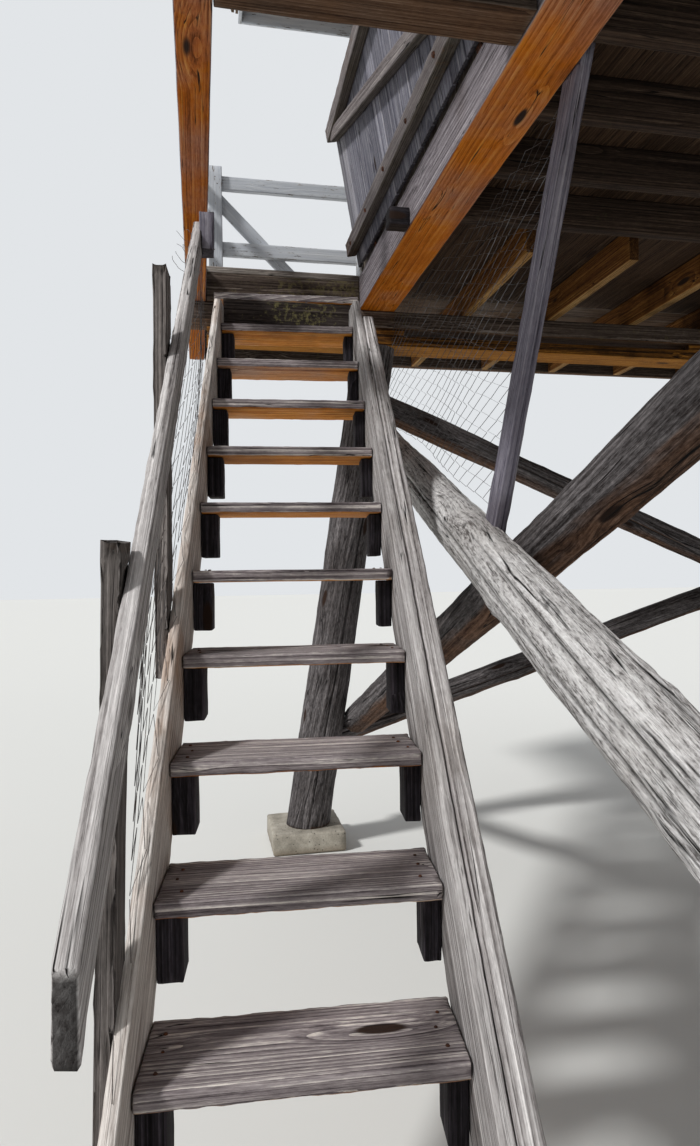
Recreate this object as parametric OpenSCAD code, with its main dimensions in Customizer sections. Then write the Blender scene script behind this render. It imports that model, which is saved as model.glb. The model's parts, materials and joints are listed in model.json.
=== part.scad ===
// Fire lookout tower: a low log tower with a square cab, a catwalk round it and an open plank stair.
// Millimetres, Z up from the ground. Y is the way that the stair climbs, X is to the right of a climber.

/* [Cab and catwalk] */
// Outside width of the square cab
cab_w = 4267; // [3000:10:5500]
// Width of the catwalk from the cab wall to the outer edge
catwalk_w = 914; // [800:2:1300]
// Height of the catwalk deck above the ground
deck_h = 3190; // [2700:10:4200]
// Thickness of the catwalk deck boards
deck_t = 34; // [20:1:50]
// Depth of the sills and rims, whose tops are level with the deck
timber_h = 185; // [140:5:260]
// Width of the sill timbers under the side walls
sill_w = 200; // [140:5:260]
// Width of the side rim timbers
side_rim_w = 100; // [60:5:160]
// Thickness of the end rim planks
end_rim_w = 50; // [38:1:90]

/* [Cap beams and floor] */
// Width of the cap beams over the legs
cap_w = 190; // [150:5:260]
// Depth of the upper cap timber
cap_h = 95; // [70:5:160]
// Open gap between the upper and the lower cap timber
cap_gap = 35; // [15:1:60]
// Depth of the lower cap timber
bolster_h = 60; // [40:5:120]
// Width of one outrigger
outrigger_w = 50; // [38:1:100]
// Spacing of the outriggers
outrigger_pitch = 508; // [380:4:700]
// How far the outriggers run in from the cap beams
outrigger_run = 830; // [500:10:1200]
// Depth of the floor joists
joist_h = 140; // [90:5:150]
// Width of one floor joist
joist_w = 50; // [38:1:90]
// Distance of the first catwalk joist from the end rim
catwalk_joist_in = 300; // [200:10:500]
// Spacing of the floor joists
joist_pitch = 360; // [300:2:610]

/* [Legs and braces] */
// Diameter of a leg at its top
leg_top_d = 240; // [180:5:320]
// Diameter of a leg at its foot
leg_foot_d = 272; // [200:4:360]
// Outward lean of a leg, in each direction, for each unit of height
leg_batter = 0.132; // [0:0.002:0.18]
// Side of a square footing block
footing_w = 420; // [380:10:600]
// Height of a footing block above the ground
footing_h = 120; // [60:10:300]
// Diameter of an outer side brace at its low end
outer_brace_low_d = 216; // [160:4:240]
// Diameter of an outer side brace at its high end
outer_brace_high_d = 184; // [150:2:220]
// Diameter of an inner side brace at its low end
inner_brace_low_d = 178; // [150:2:210]
// Diameter of an inner side brace at its high end
inner_brace_high_d = 196; // [150:2:220]
// Diameter of the end braces
end_brace_d = 156; // [120:4:180]
// Height at the leg of the low end of an outer side brace
outer_low_z = 652; // [600:4:720]
// Height at the leg of the high end of an outer side brace
outer_high_z = 2312; // [2200:4:2330]
// Height at the leg of the low end of an inner side brace
inner_low_z = 729; // [680:1:800]
// Height at the leg of the high end of an inner side brace
inner_high_z = 2493; // [2470:1:2560]
// Height at the leg of the low end of the back brace inside the legs
back_inside_low_z = 770; // [740:5:850]
// Height at the leg of the high end of the back brace inside the legs
back_inside_high_z = 2500; // [2490:5:2540]
// Height at the leg of the low end of the front brace inside the legs
front_inside_low_z = 450; // [350:10:470]
// Height at the leg of the high end of the front brace inside the legs
front_inside_high_z = 2250; // [2100:10:2280]
// Height at the leg of the low ends of the braces outside the legs
outside_low_z = 580; // [450:10:750]
// Height at the leg of the high ends of the braces outside the legs
outside_high_z = 2010; // [1800:10:2200]

/* [Stair] */
// Number of rises from the ground to the deck
rises = 14; // [12:1:18]
// Run of one step
tread_run = 238; // [200:2:300]
// Clear length of a tread between the stringers
tread_l = 610; // [500:10:640]
// Depth of a tread from front to back
tread_d = 224; // [180:2:280]
// Thickness of a tread
tread_t = 38; // [30:1:60]
// Thickness of a stringer plank
stringer_t = 32; // [28:1:50]
// Depth of a stringer plank, square to its slope
stringer_d = 240; // [200:5:300]
// Thickness of the plank doubled on the outside of the right stringer
sister_t = 50; // [30:1:60]
// Sideways drift of the stair to the right for each unit that it runs
stair_drift = 0.111; // [0:0.001:0.12]
// Turn of the treads to the right, seen from above
tread_turn = 3.7; // [0:0.1:6]
// Gap in the deck opening to the left of the stair at its top
stair_top_gap = 78; // [20:1:90]
// Gap from the line of the tread noses to the far edge of the opening, at deck level
stair_set = 17; // [0:1:60]
// Width of the cleats under the left ends of the treads
cleat_left_w = 57; // [38:1:70]
// Width of the cleats under the right ends of the treads
cleat_right_w = 42; // [38:1:60]
// Height of a cleat
cleat_h = 146; // [100:2:170]
// Depth of a cleat
cleat_d = 90; // [60:5:120]

/* [Handrail] */
// Height of the handrail's upper end above the line of the tread noses
handrail_top_h = 759; // [650:1:900]
// Height of the handrail's lower end above the line of the tread noses
handrail_low_h = 877; // [700:1:1000]
// Run from the deck edge to the handrail's upper end
handrail_top_run = 1105; // [1000:5:1300]
// Run from the deck edge to the handrail's lower end
handrail_low_run = 3084; // [2700:1:3200]
// How far the handrail's upper end stands out to the left of the stringer
handrail_top_out = 15; // [0:1:30]
// How far the handrail's lower end stands in over the stringer
handrail_low_in = 37; // [0:1:45]
// Width of the handrail
handrail_w = 35; // [30:1:60]
// Depth of the handrail, square to its slope
handrail_d = 89; // [70:1:120]
// Thickness of the handrail posts
rail_post_t = 38; // [30:1:60]
// Depth of the handrail posts
rail_post_d = 89; // [70:1:120]
// Run from the deck edge to the low handrail post
low_post_run = 2580; // [2300:5:2650]
// Run from the deck edge to the high handrail post
high_post_run = 1900; // [1600:5:2000]
// How far the high post stands above the handrail
high_post_above = 210; // [40:5:300]

/* [Opening and hatch] */
// Length of the stair opening in the deck
opening_l = 2061; // [1900:1:2200]
// Thickness of the hatch boards
hatch_board_t = 20; // [18:1:32]
// Width of the hatch at its far end
hatch_w = 740; // [700:5:750]
// How much wider the hatch gets towards its near end, for each unit of its length
hatch_flare = 0.028; // [0:0.004:0.028]
// Clearance of the hatch in its opening, at each end
hatch_gap = 12; // [6:1:20]
// Clearance between the shut hatch and the sill
hatch_side_gap = 5; // [5:1:12]
// Width of a hatch rail
hatch_rail_w = 70; // [60:5:110]
// Depth of a hatch rail
hatch_rail_t = 51; // [38:1:80]
// Width of the hatch's diagonal brace
hatch_brace_w = 62; // [50:2:90]
// Depth of the hatch's diagonal brace
hatch_brace_t = 45; // [30:1:51]
// Lean of the open hatch from flat
hatch_angle = 80.5; // [70:0.5:85]
// Distance of the inner rail from the hinge edge
hatch_rail_in = 62; // [50:2:140]
// Distance of the hinge pins in from the sill's outer face
hinge_in = 24; // [20:1:28]
// Distance of the hinges from the ends of the hatch
hinge_from_end = 300; // [150:10:500]
// Height of the hinge pins above the deck
hinge_up = 8; // [8:1:12]

/* [Railing] */
// Height of the railing posts above the deck
railing_post_h = 1040; // [1000:10:1200]
// Side of a square railing post
railing_post_w = 89; // [70:1:100]
// Height of the top of the top rail above the deck
railing_h = 990; // [850:10:1000]
// Depth of a railing board
railing_board_h = 89; // [70:1:140]
// Thickness of a railing board
railing_board_t = 38; // [19:1:45]
// Height of the top of the middle rail above the deck
middle_rail_h = 562; // [400:2:600]
// Bays in each railing
railing_bays = 3; // [2:1:5]
// How far the front and back railings stop short of the side rims
railing_set = 34; // [0:1:60]

/* [Cab walls and roof] */
// How far the walls stand in from the outer faces of the sills
wall_set = 36; // [36:1:60]
// Height of the cab walls above the floor
wall_h = 2134; // [1900:10:2600]
// Thickness of a cab wall
wall_t = 100; // [70:5:160]
// Height of the window openings above the floor
window_sill_h = 860; // [700:10:1000]
// Height of a window opening
window_h = 1000; // [800:10:1000]
// Windows in each wall
windows = 3; // [2:1:4]
// Width of the wall left between two windows
mullion_w = 110; // [80:5:200]
// Width of the sash frame
sash_w = 50; // [35:5:60]
// Thickness of the sash frame
sash_t = 38; // [28:2:45]
// Thickness of the glass
glass_t = 6; // [4:1:8]
// Width of the doorway
door_w = 780; // [700:10:900]
// Height of the wall above the doorway
door_head_h = 174; // [100:2:350]
// Thickness of the door
door_t = 42; // [35:1:50]
// Overhang of the roof past the walls
eave = 600; // [300:10:800]
// Slope of the roof in degrees
roof_slope = 27; // [20:1:35]
// Thickness of the roof, square to its slope
roof_t = 60; // [40:5:120]
// Depth of the plate on top of the walls
plate_h = 90; // [60:5:140]

/* [Netting post] */
// Distance of the netting post's head from the deck edge
netting_head_run = 2005; // [1800:5:2050]
// Distance of the netting post's foot from the deck edge
netting_foot_run = 1725; // [1600:5:1790]
// How far the netting post's foot stands in from the outer side brace's axis
netting_foot_in = 30; // [0:5:50]
// Thickness of the netting post
netting_post_t = 48; // [38:1:60]
// Width of the netting post
netting_post_w = 90; // [70:2:110]

/* [Hidden] */
$fn = 48;
// Clearance where a round piece is cut to fit another
fit = 0.3;
// Clearance of a sawn end that is driven in between two others
seat = 0.2;
// Overcut of every cutting solid
over = 5;

// Levels
timber_top = deck_h - deck_t;
timber_z = deck_h - timber_h;
cap_z = timber_z - cap_h;
bolster_z = cap_z - cap_gap - bolster_h;
floor_z = deck_h;
wall_top = floor_z + wall_h;
door_h = wall_h - door_head_h;

// Plan
cab_r = cab_w / 2;
deck_r = cab_r + catwalk_w;
wall_r = cab_r - wall_set;
wall_w = 2 * wall_r;
cap_y = cab_r - cap_w / 2;
deck_edge_y = cab_r - cap_w;
sill_x = cab_r - sill_w / 2;
rim_in_x = deck_r - side_rim_w;
opening_w = rim_in_x - cab_r;
opening_y = deck_edge_y - opening_l;

// Stair
stair_end_y = deck_edge_y - stair_set;
rise = deck_h / rises;
stair_slope = atan(rise / tread_run);
stair_run = rises * tread_run;
stringer_over = 66;
tread_top_x = -rim_in_x + stair_top_gap + stringer_t;
drift_angle = atan(stair_drift);
tread_reach = tread_l / cos(drift_angle - tread_turn);

// Logs
leg_h = bolster_z - footing_h;
outer_offset = 65;
outer_end_in = 185;
inner_offset = 205;
inner_end_in = 70;
end_inside_offset = 120;
end_outside_offset = -130;

// The whole object's middle, between the left stringer's toe and the right rim
stringer_above = stringer_over / cos(stair_slope);
toe_along = -(deck_h + stringer_above) / (cos(drift_angle) * rise / tread_run);
toe_x = tread_top_x - stringer_t * cos(drift_angle) + toe_along * sin(drift_angle);
middle_x = (deck_r + min(toe_x, -deck_r)) / 2;

// Left end of the treads, as the stair drifts
function stair_x(y) = tread_top_x - stair_drift * (stair_end_y - y);
// Height of the line of the tread noses
function nose_z(y) = deck_h - (stair_end_y - y) * rise / tread_run;
// Distance of a leg's axis from the tower's middle, along X and Y
function leg_x(z) = sill_x + leg_batter * (bolster_z - z);
function leg_y(z) = cap_y + leg_batter * (bolster_z - z);

module log_between(a, b, d_a, d_b) {
    v = b - a;
    translate(a)
        rotate([0, acos(v[2] / norm(v)), atan2(v[1], v[0])])
            cylinder(h = norm(v), d1 = d_a, d2 = d_b);
}

module block(x, y, z) {
    translate([x[0], y[0], z[0]])
        cube([x[1] - x[0], y[1] - y[0], z[1] - z[0]]);
}

// One leg's log, grown by a clearance, before its ends are cut level
module leg_log(sx, sy, grow) {
    low = -100;
    high = bolster_z + 100;
    log_between([sx * leg_x(low), sy * leg_y(low), low], [sx * leg_x(high), sy * leg_y(high), high],
        leg_foot_d + 2 * grow, leg_top_d + 2 * grow);
}

module all_legs(grow) {
    for (sx = [-1, 1], sy = [-1, 1])
        leg_log(sx, sy, grow);
}

module legs() {
    color("#8a8278")
        for (sx = [-1, 1], sy = [-1, 1])
            intersection() {
                leg_log(sx, sy, 0);
                block([-2 * deck_r, 2 * deck_r], [-2 * deck_r, 2 * deck_r], [footing_h, bolster_z]);
            }
}

module footings() {
    color("#a9a59b")
        for (sx = [-1, 1], sy = [-1, 1])
            translate([sx * leg_x(0), sy * leg_y(0), footing_h / 2])
                cube([footing_w, footing_w, footing_h], center = true);
}

// Place along Y of an outer side brace's low and high ends, and the height of its axis between them
function outer_end_y(high) = high ? leg_y(outer_high_z) - outer_end_in : -leg_y(outer_low_z);
function outer_axis_z(y) = outer_low_z + (outer_high_z - outer_low_z)
    * (y - outer_end_y(false)) / (outer_end_y(true) - outer_end_y(false));

// A side brace: its low end at the leg on the low_side of Y
module side_log(sx, low_side, low_z, high_z, offset, end_in, low_d, high_d) {
    log_between([sx * (leg_x(low_z) - offset), low_side * leg_y(low_z), low_z],
        [sx * (leg_x(high_z) - offset), -low_side * (leg_y(high_z) - end_in), high_z], low_d, high_d);
}

module outer_log(sx, grow) {
    side_log(sx, -1, outer_low_z, outer_high_z, outer_offset, outer_end_in,
        outer_brace_low_d + 2 * grow, outer_brace_high_d + 2 * grow);
}

module inner_log(sx, grow) {
    side_log(sx, 1, inner_low_z, inner_high_z, inner_offset, inner_end_in,
        inner_brace_low_d + 2 * grow, inner_brace_high_d + 2 * grow);
}

// An end brace: its low end at the leg on the low_side of X
module end_log(sy, low_side, low_z, high_z, offset) {
    log_between([low_side * leg_x(low_z), sy * (leg_y(low_z) - offset), low_z],
        [-low_side * (leg_x(high_z) - 30), sy * (leg_y(high_z) - offset), high_z], end_brace_d, end_brace_d);
}

module outer_braces() {
    color("#a8a196")
        for (sx = [-1, 1])
            difference() {
                outer_log(sx, 0);
                all_legs(fit);
            }
}

module inner_braces() {
    color("#7d746a")
        for (sx = [-1, 1])
            difference() {
                inner_log(sx, 0);
                all_legs(fit);
                outer_log(sx, fit);
            }
}

// The two braces of one end, one inside the legs and notched over the side braces, one outside
module end_pair(sy, low_z, high_z) {
    difference() {
        end_log(sy, 1, low_z, high_z, end_inside_offset);
        all_legs(fit);
        for (sx = [-1, 1]) {
            outer_log(sx, fit);
            inner_log(sx, fit);
        }
    }
    difference() {
        end_log(sy, -1, outside_low_z, outside_high_z, end_outside_offset);
        all_legs(fit);
    }
}

module back_braces() {
    color("#6f675f")
        end_pair(1, back_inside_low_z, back_inside_high_z);
}

module front_braces() {
    color("#6f675f")
        end_pair(-1, front_inside_low_z, front_inside_high_z);
}

module cap_beams() {
    color("#5d5148")
        for (sy = [-1, 1])
            translate([0, sy * cap_y, cap_z + cap_h / 2])
                cube([2 * deck_r, cap_w, cap_h], center = true);
}

module bolsters() {
    spacer_l = 300;
    color("#5d5148")
        for (sy = [-1, 1]) {
            translate([0, sy * cap_y, bolster_z + bolster_h / 2])
                cube([2 * deck_r - 2 * side_rim_w, cap_w, bolster_h], center = true);
            for (x = [-sill_x, 0, sill_x])
                translate([x, sy * cap_y, cap_z - cap_gap / 2])
                    cube([spacer_l, cap_w, cap_gap], center = true);
        }
}

module sills() {
    color("#6e655d")
        for (sx = [-1, 1])
            translate([sx * sill_x, 0, timber_z + timber_h / 2])
                cube([sill_w, cab_w, timber_h], center = true);
}

module outriggers() {
    count = floor((cab_w - 2 * sill_w - outrigger_w) / outrigger_pitch);
    first = -(count - 1) * outrigger_pitch / 2;
    y_in = deck_edge_y - outrigger_run;
    color("#7a5b3c")
        for (sy = [-1, 1], i = [0:count - 1])
            block([first + i * outrigger_pitch - outrigger_w / 2, first + i * outrigger_pitch + outrigger_w / 2],
                sy > 0 ? [y_in, deck_r - end_rim_w] : [end_rim_w - deck_r, -y_in], [timber_z, timber_top]);
}

module side_rims() {
    color("#6e655d")
        for (sx = [-1, 1])
            translate([sx * (deck_r - side_rim_w / 2), 0, timber_z + timber_h / 2])
                cube([side_rim_w, 2 * deck_r, timber_h], center = true);
}

module end_rims() {
    color("#6e655d")
        for (sy = [-1, 1])
            translate([0, sy * (deck_r - end_rim_w / 2), timber_z + timber_h / 2])
                cube([2 * rim_in_x, end_rim_w, timber_h], center = true);
}

module floor_joists() {
    half = deck_edge_y - outrigger_run - joist_w;
    count = floor(2 * half / joist_pitch) + 1;
    first = -(count - 1) * joist_pitch / 2;
    color("#5f544b")
        for (i = [0:count - 1])
            block([sill_w - cab_r, cab_r - sill_w],
                [first + i * joist_pitch - joist_w / 2, first + i * joist_pitch + joist_w / 2],
                [timber_top - joist_h, timber_top]);
}

module cab_floor() {
    color("#57493d")
        block([sill_w - cab_r, cab_r - sill_w], [-cab_r, cab_r], [timber_top, deck_h]);
}

// Short joists between a sill and its rim, clear of the stair opening on the left
module catwalk_joists() {
    past = header_w + joist_w;
    low = end_rim_w - deck_r + catwalk_joist_in;
    color("#66584c") {
        for (y = [low:outrigger_pitch:opening_y - past])
            block([-rim_in_x, -cab_r], [y, y + joist_w], [timber_top - joist_h, timber_top]);
        for (y = [low:outrigger_pitch:-low])
            block([cab_r, rim_in_x], [y, y + joist_w], [timber_top - joist_h, timber_top]);
        block([-rim_in_x, -cab_r], [-low, joist_w - low], [timber_top - joist_h, timber_top]);
    }
}

// The left deck, in two lengths with the stair opening between them
module deck_left() {
    end = deck_r - end_rim_w;
    color("#7b7268") {
        block([-rim_in_x, -cab_r], [-end, opening_y], [timber_top, deck_h]);
        block([-rim_in_x, -cab_r], [deck_edge_y, end], [timber_top, deck_h]);
    }
}

module deck_right() {
    end = deck_r - end_rim_w;
    color("#7b7268")
        block([cab_r, rim_in_x], [-end, end], [timber_top, deck_h]);
}

module deck_front() {
    color("#7b7268")
        block([-cab_r, cab_r], [end_rim_w - deck_r, -cab_r], [timber_top, deck_h]);
}

module deck_back() {
    color("#7b7268")
        block([-cab_r, cab_r], [cab_r, deck_r - end_rim_w], [timber_top, deck_h]);
}

// The headers that frame the ends of the stair opening
header_w = 140;
module stair_headers() {
    color("#66584c") {
        block([-rim_in_x, -cab_r], [opening_y - header_w, opening_y], [timber_z, timber_top]);
        block([-rim_in_x, -cab_r], [deck_edge_y, deck_edge_y + header_w], [timber_z, timber_top]);
    }
}

// Height of the line of the tread noses, at a length along the drifting stair from the deck edge
function drifted_z(along) = deck_h + along * cos(drift_angle) * rise / tread_run;

// Line of the sloping cut across the stringers' upper ends, just under the top tread
function stringer_cut_z(along) = (rises - 1) * rise - tread_t + 0.156 * (along + 26);

// A plank of thickness t that slopes and drifts with the stair, set off by side from the treads' left ends
module sloped_plank(side, t, y_low, y_high) {
    depth = stringer_d / cos(stair_slope);
    intersection() {
        translate([tread_top_x, stair_end_y, 0])
            rotate([0, 0, -drift_angle])
                translate([side, 0, 0])
                    rotate([90, 0, 90])
                        linear_extrude(height = t)
                            intersection() {
                                polygon([
                                    [y_low, drifted_z(y_low) + stringer_above],
                                    [y_high, drifted_z(y_high) + stringer_above],
                                    [y_high, drifted_z(y_high) + stringer_above - depth],
                                    [y_low, drifted_z(y_low) + stringer_above - depth]
                                ]);
                                polygon([
                                    [-2 * stair_run, 0],
                                    [stair_run, 0],
                                    [stair_run, stringer_cut_z(stair_run)],
                                    [-2 * stair_run, stringer_cut_z(-2 * stair_run)]
                                ]);
                            }
        block([-2 * deck_r, 0], [-2 * stair_run, deck_edge_y], [0, deck_h]);
    }
}

module stringer_left() {
    color("#b5aea2")
        sloped_plank(-stringer_t, stringer_t, -stair_run - stringer_d, stringer_d);
}

module stringer_right() {
    color("#b5aea2")
        sloped_plank(tread_l, stringer_t, -stair_run - stringer_d, stringer_d);
}

module sister_plank() {
    sister_end = 560;
    color("#9d968b")
        sloped_plank(tread_l + stringer_t, sister_t, -stair_run - stringer_d, -sister_end);
}

// Moves its children to the left end of a tread's nose, counted from the ground
module at_tread(i) {
    y = stair_end_y - (rises - i) * tread_run;
    translate([stair_x(y), y, i * rise])
        children();
}

// A tread between the stringers, lengthened past both ends and deepened at its back
module tread(past, deeper) {
    left = -past / cos(drift_angle - tread_turn);
    right = tread_reach - left;
    depth = tread_d + deeper;
    back = [depth * sin(drift_angle), depth * cos(drift_angle)];
    nose_l = [left * cos(tread_turn), -left * sin(tread_turn)];
    nose_r = [right * cos(tread_turn), -right * sin(tread_turn)];
    translate([0, 0, -tread_t])
        linear_extrude(height = tread_t)
            polygon([nose_l, nose_r, nose_r + back, nose_l + back]);
}

// The top tread lies over the ends of the stringers and runs back to the cap beam
module treads() {
    color("#8d857a") {
        for (i = [1:rises - 2])
            at_tread(i)
                tread(-seat, 0);
        intersection() {
            at_tread(rises - 1)
                tread(stringer_t + 20, cap_w);
            block([-rim_in_x, -cab_r], [0, deck_edge_y], [0, deck_h]);
        }
    }
}

module cleat(width, i) {
    setback = 32;
    height = min(cleat_h, i * rise - tread_t);
    translate([0, setback, -tread_t - height])
        cube([width, cleat_d, height]);
}

module cleats() {
    color("#3a3531")
        for (i = [1:rises - 2])
            at_tread(i) {
                rotate([0, 0, -drift_angle])
                    translate([seat, 0, 0])
                        cleat(cleat_left_w, i);
                translate([tread_reach * cos(tread_turn), -tread_reach * sin(tread_turn), 0])
                    rotate([0, 0, -drift_angle])
                        translate([-cleat_right_w - seat, 0, 0])
                            cleat(cleat_right_w, i);
            }
}

// The handrail's left top edge runs straight between these two points, in plan and in height
handrail_top = [tread_top_x - stringer_t / cos(drift_angle) - handrail_top_out
    - stair_drift * (handrail_top_run - stair_set), deck_edge_y - handrail_top_run];
handrail_low = [tread_top_x - stringer_t / cos(drift_angle) + handrail_low_in
    - stair_drift * (handrail_low_run - stair_set), deck_edge_y - handrail_low_run];
handrail_top_z = nose_z(handrail_top[1]) + handrail_top_h;
handrail_low_z = nose_z(handrail_low[1]) + handrail_low_h;
function handrail_f(y) = (y - handrail_low[1]) / (handrail_top[1] - handrail_low[1]);
function handrail_x(y) = handrail_low[0] + handrail_f(y) * (handrail_top[0] - handrail_low[0]);
function handrail_z(y) = handrail_low_z + handrail_f(y) * (handrail_top_z - handrail_low_z);

module handrail_bar(grow) {
    run = handrail_top - handrail_low;
    length = norm(run);
    up = handrail_top_z - handrail_low_z;
    depth = handrail_d / cos(atan(up / length));
    translate([handrail_low[0], handrail_low[1], handrail_low_z])
        rotate([0, 0, atan2(run[1], run[0]) - 90])
            translate([-grow, 0, 0])
                rotate([90, 0, 90])
                    linear_extrude(height = handrail_w + 2 * grow)
                        polygon([
                            [-grow, grow],
                            [length + grow, up + grow],
                            [length + grow, up - depth - grow],
                            [-grow, -depth - grow]
                        ]);
}

module handrail() {
    color("#bdb6ab")
        handrail_bar(0);
}

// A post that leans from the stringer's outer face to the handrail's left face, let 2 mm into both
module rail_post(run, low, high) {
    y = deck_edge_y - run;
    let_in = 2;
    x_foot = stair_x(y) - stringer_t / cos(drift_angle);
    z_foot = nose_z(y) - 80;
    z_head = handrail_z(y) - 60;
    lean = (handrail_x(y) - x_foot) / (z_head - z_foot);
    multmatrix([[1, 0, lean, x_foot + let_in - lean * z_foot], [0, 1, 0, y], [0, 0, 1, 0]])
        rotate([0, 0, -drift_angle])
            translate([-rail_post_t, -rail_post_d / 2, low])
                cube([rail_post_t, rail_post_d, high - low]);
}

module handrail_posts() {
    color("#5a5049")
        difference() {
            union() {
                rail_post(low_post_run, 0, handrail_z(deck_edge_y - low_post_run) + 60);
                rail_post(high_post_run, nose_z(deck_edge_y - high_post_run) - 80,
                    handrail_z(deck_edge_y - high_post_run) + high_post_above);
            }
            handrail_bar(fit);
            sloped_plank(-stringer_t - fit, stringer_t, -stair_run - stringer_d, stringer_d);
        }
}

// The block that hangs under the left rim and carries the handrail's upper end
module handrail_hanger() {
    block_l = 90;
    y = handrail_top[1] - block_l;
    x = handrail_x(y) + handrail_w + 4;
    color("#5a5049")
        difference() {
            block([x - 10, x + 45], [y, y + block_l], [handrail_z(y) - 60, timber_z]);
            handrail_bar(fit);
        }
}

module netting_post() {
    head = [sill_w - cab_r + netting_post_t / 2, deck_edge_y - netting_head_run, timber_z + 60];
    foot_y = deck_edge_y - netting_foot_run;
    foot_z = outer_axis_z(foot_y);
    foot = [outer_offset + netting_foot_in - leg_x(foot_z), foot_y, foot_z];
    v = head - foot;
    along = v / norm(v);
    color("#6b6661")
        difference() {
            multmatrix([[1, 0, along[0], foot[0]], [0, 1, along[1], foot[1]], [0, 0, along[2], foot[2]]])
                translate([-netting_post_t / 2, -netting_post_w / 2, 0])
                    cube([netting_post_t, netting_post_w, norm(v)]);
            outer_log(-1, fit);
            block([-cab_r, sill_w - cab_r], [-deck_r, deck_r], [timber_z, timber_top]);
        }
}

// A railing along X between two ends, centred on y, with a diagonal in each end bay
module railing_run(length) {
    bay = (length - railing_post_w) / railing_bays;
    for (i = [0:railing_bays])
        translate([i * bay, -railing_post_w / 2, 0])
            cube([railing_post_w, railing_post_w, railing_post_h]);
    for (top = [railing_h, middle_rail_h])
        translate([railing_post_w / 2, -railing_board_t / 2, top - railing_board_h])
            cube([length - railing_post_w, railing_board_t, railing_board_h]);
    for (side = [0, 1])
        translate([side * length, 0, 0])
            mirror([side, 0, 0])
                railing_diagonal();
}

module railing_diagonal() {
    reach = railing_h - railing_board_h;
    board_l = reach * sqrt(2);
    intersection() {
        translate([railing_post_w / 2, railing_board_t / 2, reach + 30])
            rotate([0, 45, 0])
                cube([board_l + railing_post_h, railing_board_t * 0.6, railing_board_h]);
        block([0, 2 * deck_r], [-deck_r, deck_r], [0, railing_h - railing_board_h / 2]);
    }
}

module railing_left() {
    color("#d6d8d6")
        translate([-deck_r + railing_post_w / 2, deck_r, deck_h])
            rotate([0, 0, -90])
                railing_run(2 * deck_r);
}

module railing_right() {
    color("#d6d8d6")
        translate([deck_r - railing_post_w / 2, -deck_r, deck_h])
            rotate([0, 0, 90])
                railing_run(2 * deck_r);
}

module railing_front() {
    color("#d6d8d6")
        translate([rim_in_x - railing_set, end_rim_w + railing_post_w / 2 - deck_r, deck_h])
            rotate([0, 0, 180])
                railing_run(2 * rim_in_x - 2 * railing_set);
}

module railing_back() {
    color("#d6d8d6")
        translate([railing_set - rim_in_x, deck_r - end_rim_w - railing_post_w / 2, deck_h])
            railing_run(2 * rim_in_x - 2 * railing_set);
}

module hatch_ledger() {
    ledger_w = 76;
    ledger_out = 87;
    ledger_run = 1000;
    color("#4c463f")
        block([-cab_r - ledger_out, -cab_r], [deck_edge_y - ledger_run, deck_edge_y - ledger_run + ledger_w],
            [timber_z, timber_z + ledger_w]);
}

// The hatch is drawn flat, with its hinge axis on the origin and its free edge towards -X, and then opened
module opened_hatch() {
    translate([hinge_in - cab_r, deck_edge_y - opening_l / 2, deck_h + hinge_up])
        rotate([0, hatch_angle, 0])
            children();
}
hinge_ear_w = 16;
knuckle_w = 36;
knuckle_d = 14;
pin_d = 8;
hatch_l = opening_l - 2 * hatch_gap;
hatch_edge = -hinge_in - hatch_side_gap;
hinge_at = [hinge_from_end - hatch_l / 2, hatch_l / 2 - hinge_from_end];

// The hatch's free edge, moved in by a width, at a place along its length
function hatch_free(y, width) = hatch_edge - hatch_w + width - hatch_flare * (hatch_l / 2 - y);

module hatch_boards() {
    end = hatch_l / 2;
    color("#7e7c80")
        opened_hatch()
            translate([0, 0, -hinge_up - hatch_board_t])
                linear_extrude(height = hatch_board_t)
                    polygon([[hatch_edge, -end], [hatch_edge, end], [hatch_free(end, 0), end],
                        [hatch_free(-end, 0), -end]]);
}

// The two rails under the boards, and a diagonal that runs a little way into both
module hatch_frame() {
    under = -hinge_up - hatch_board_t;
    inner_x = hatch_edge - hatch_rail_in - hatch_rail_w;
    end = hatch_l / 2;
    outer_x = hatch_free(end, hatch_rail_w);
    into = 15;
    low = 25 - end;
    wide = hatch_brace_w * norm([inner_x - outer_x, -2 * low]) / (inner_x - outer_x);
    color("#6f665c")
        opened_hatch() {
            translate([inner_x, -end, under - hatch_rail_t])
                cube([hatch_rail_w, hatch_l, hatch_rail_t]);
            translate([0, 0, under - hatch_rail_t])
                linear_extrude(height = hatch_rail_t)
                    polygon([[hatch_free(-end, hatch_rail_w), -end], [outer_x, end], [hatch_free(end, 0), end],
                        [hatch_free(-end, 0), -end]]);
            translate([0, 0, under - hatch_brace_t])
                linear_extrude(height = hatch_brace_t)
                    polygon([[outer_x - into, -low], [inner_x + into, wide + low], [inner_x + into, low],
                        [outer_x - into, -low - wide]]);
        }
}

// The straps that turn with the hatch, each cranked up over the sill to a knuckle round its pin
module hatch_straps() {
    strap_l = 320;
    strap_t = 5;
    color("#4a3a30")
        opened_hatch()
            for (y = hinge_at)
                difference() {
                    union() {
                        translate([-strap_l, y - knuckle_w / 2, -hinge_up])
                            cube([strap_l + hatch_edge, knuckle_w, strap_t]);
                        translate([hatch_edge - strap_t, y - knuckle_w / 2, strap_t / 2 - hinge_up])
                            cube([strap_t - hatch_edge, knuckle_w, strap_t]);
                        translate([0, y - knuckle_w / 2, 0])
                            rotate([-90, 0, 0])
                                cylinder(h = knuckle_w, d = knuckle_d);
                    }
                    translate([0, y - knuckle_w / 2 - over, 0])
                        rotate([-90, 0, 0])
                            cylinder(h = knuckle_w + 2 * over, d = pin_d + 0.1);
                }
}

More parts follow.
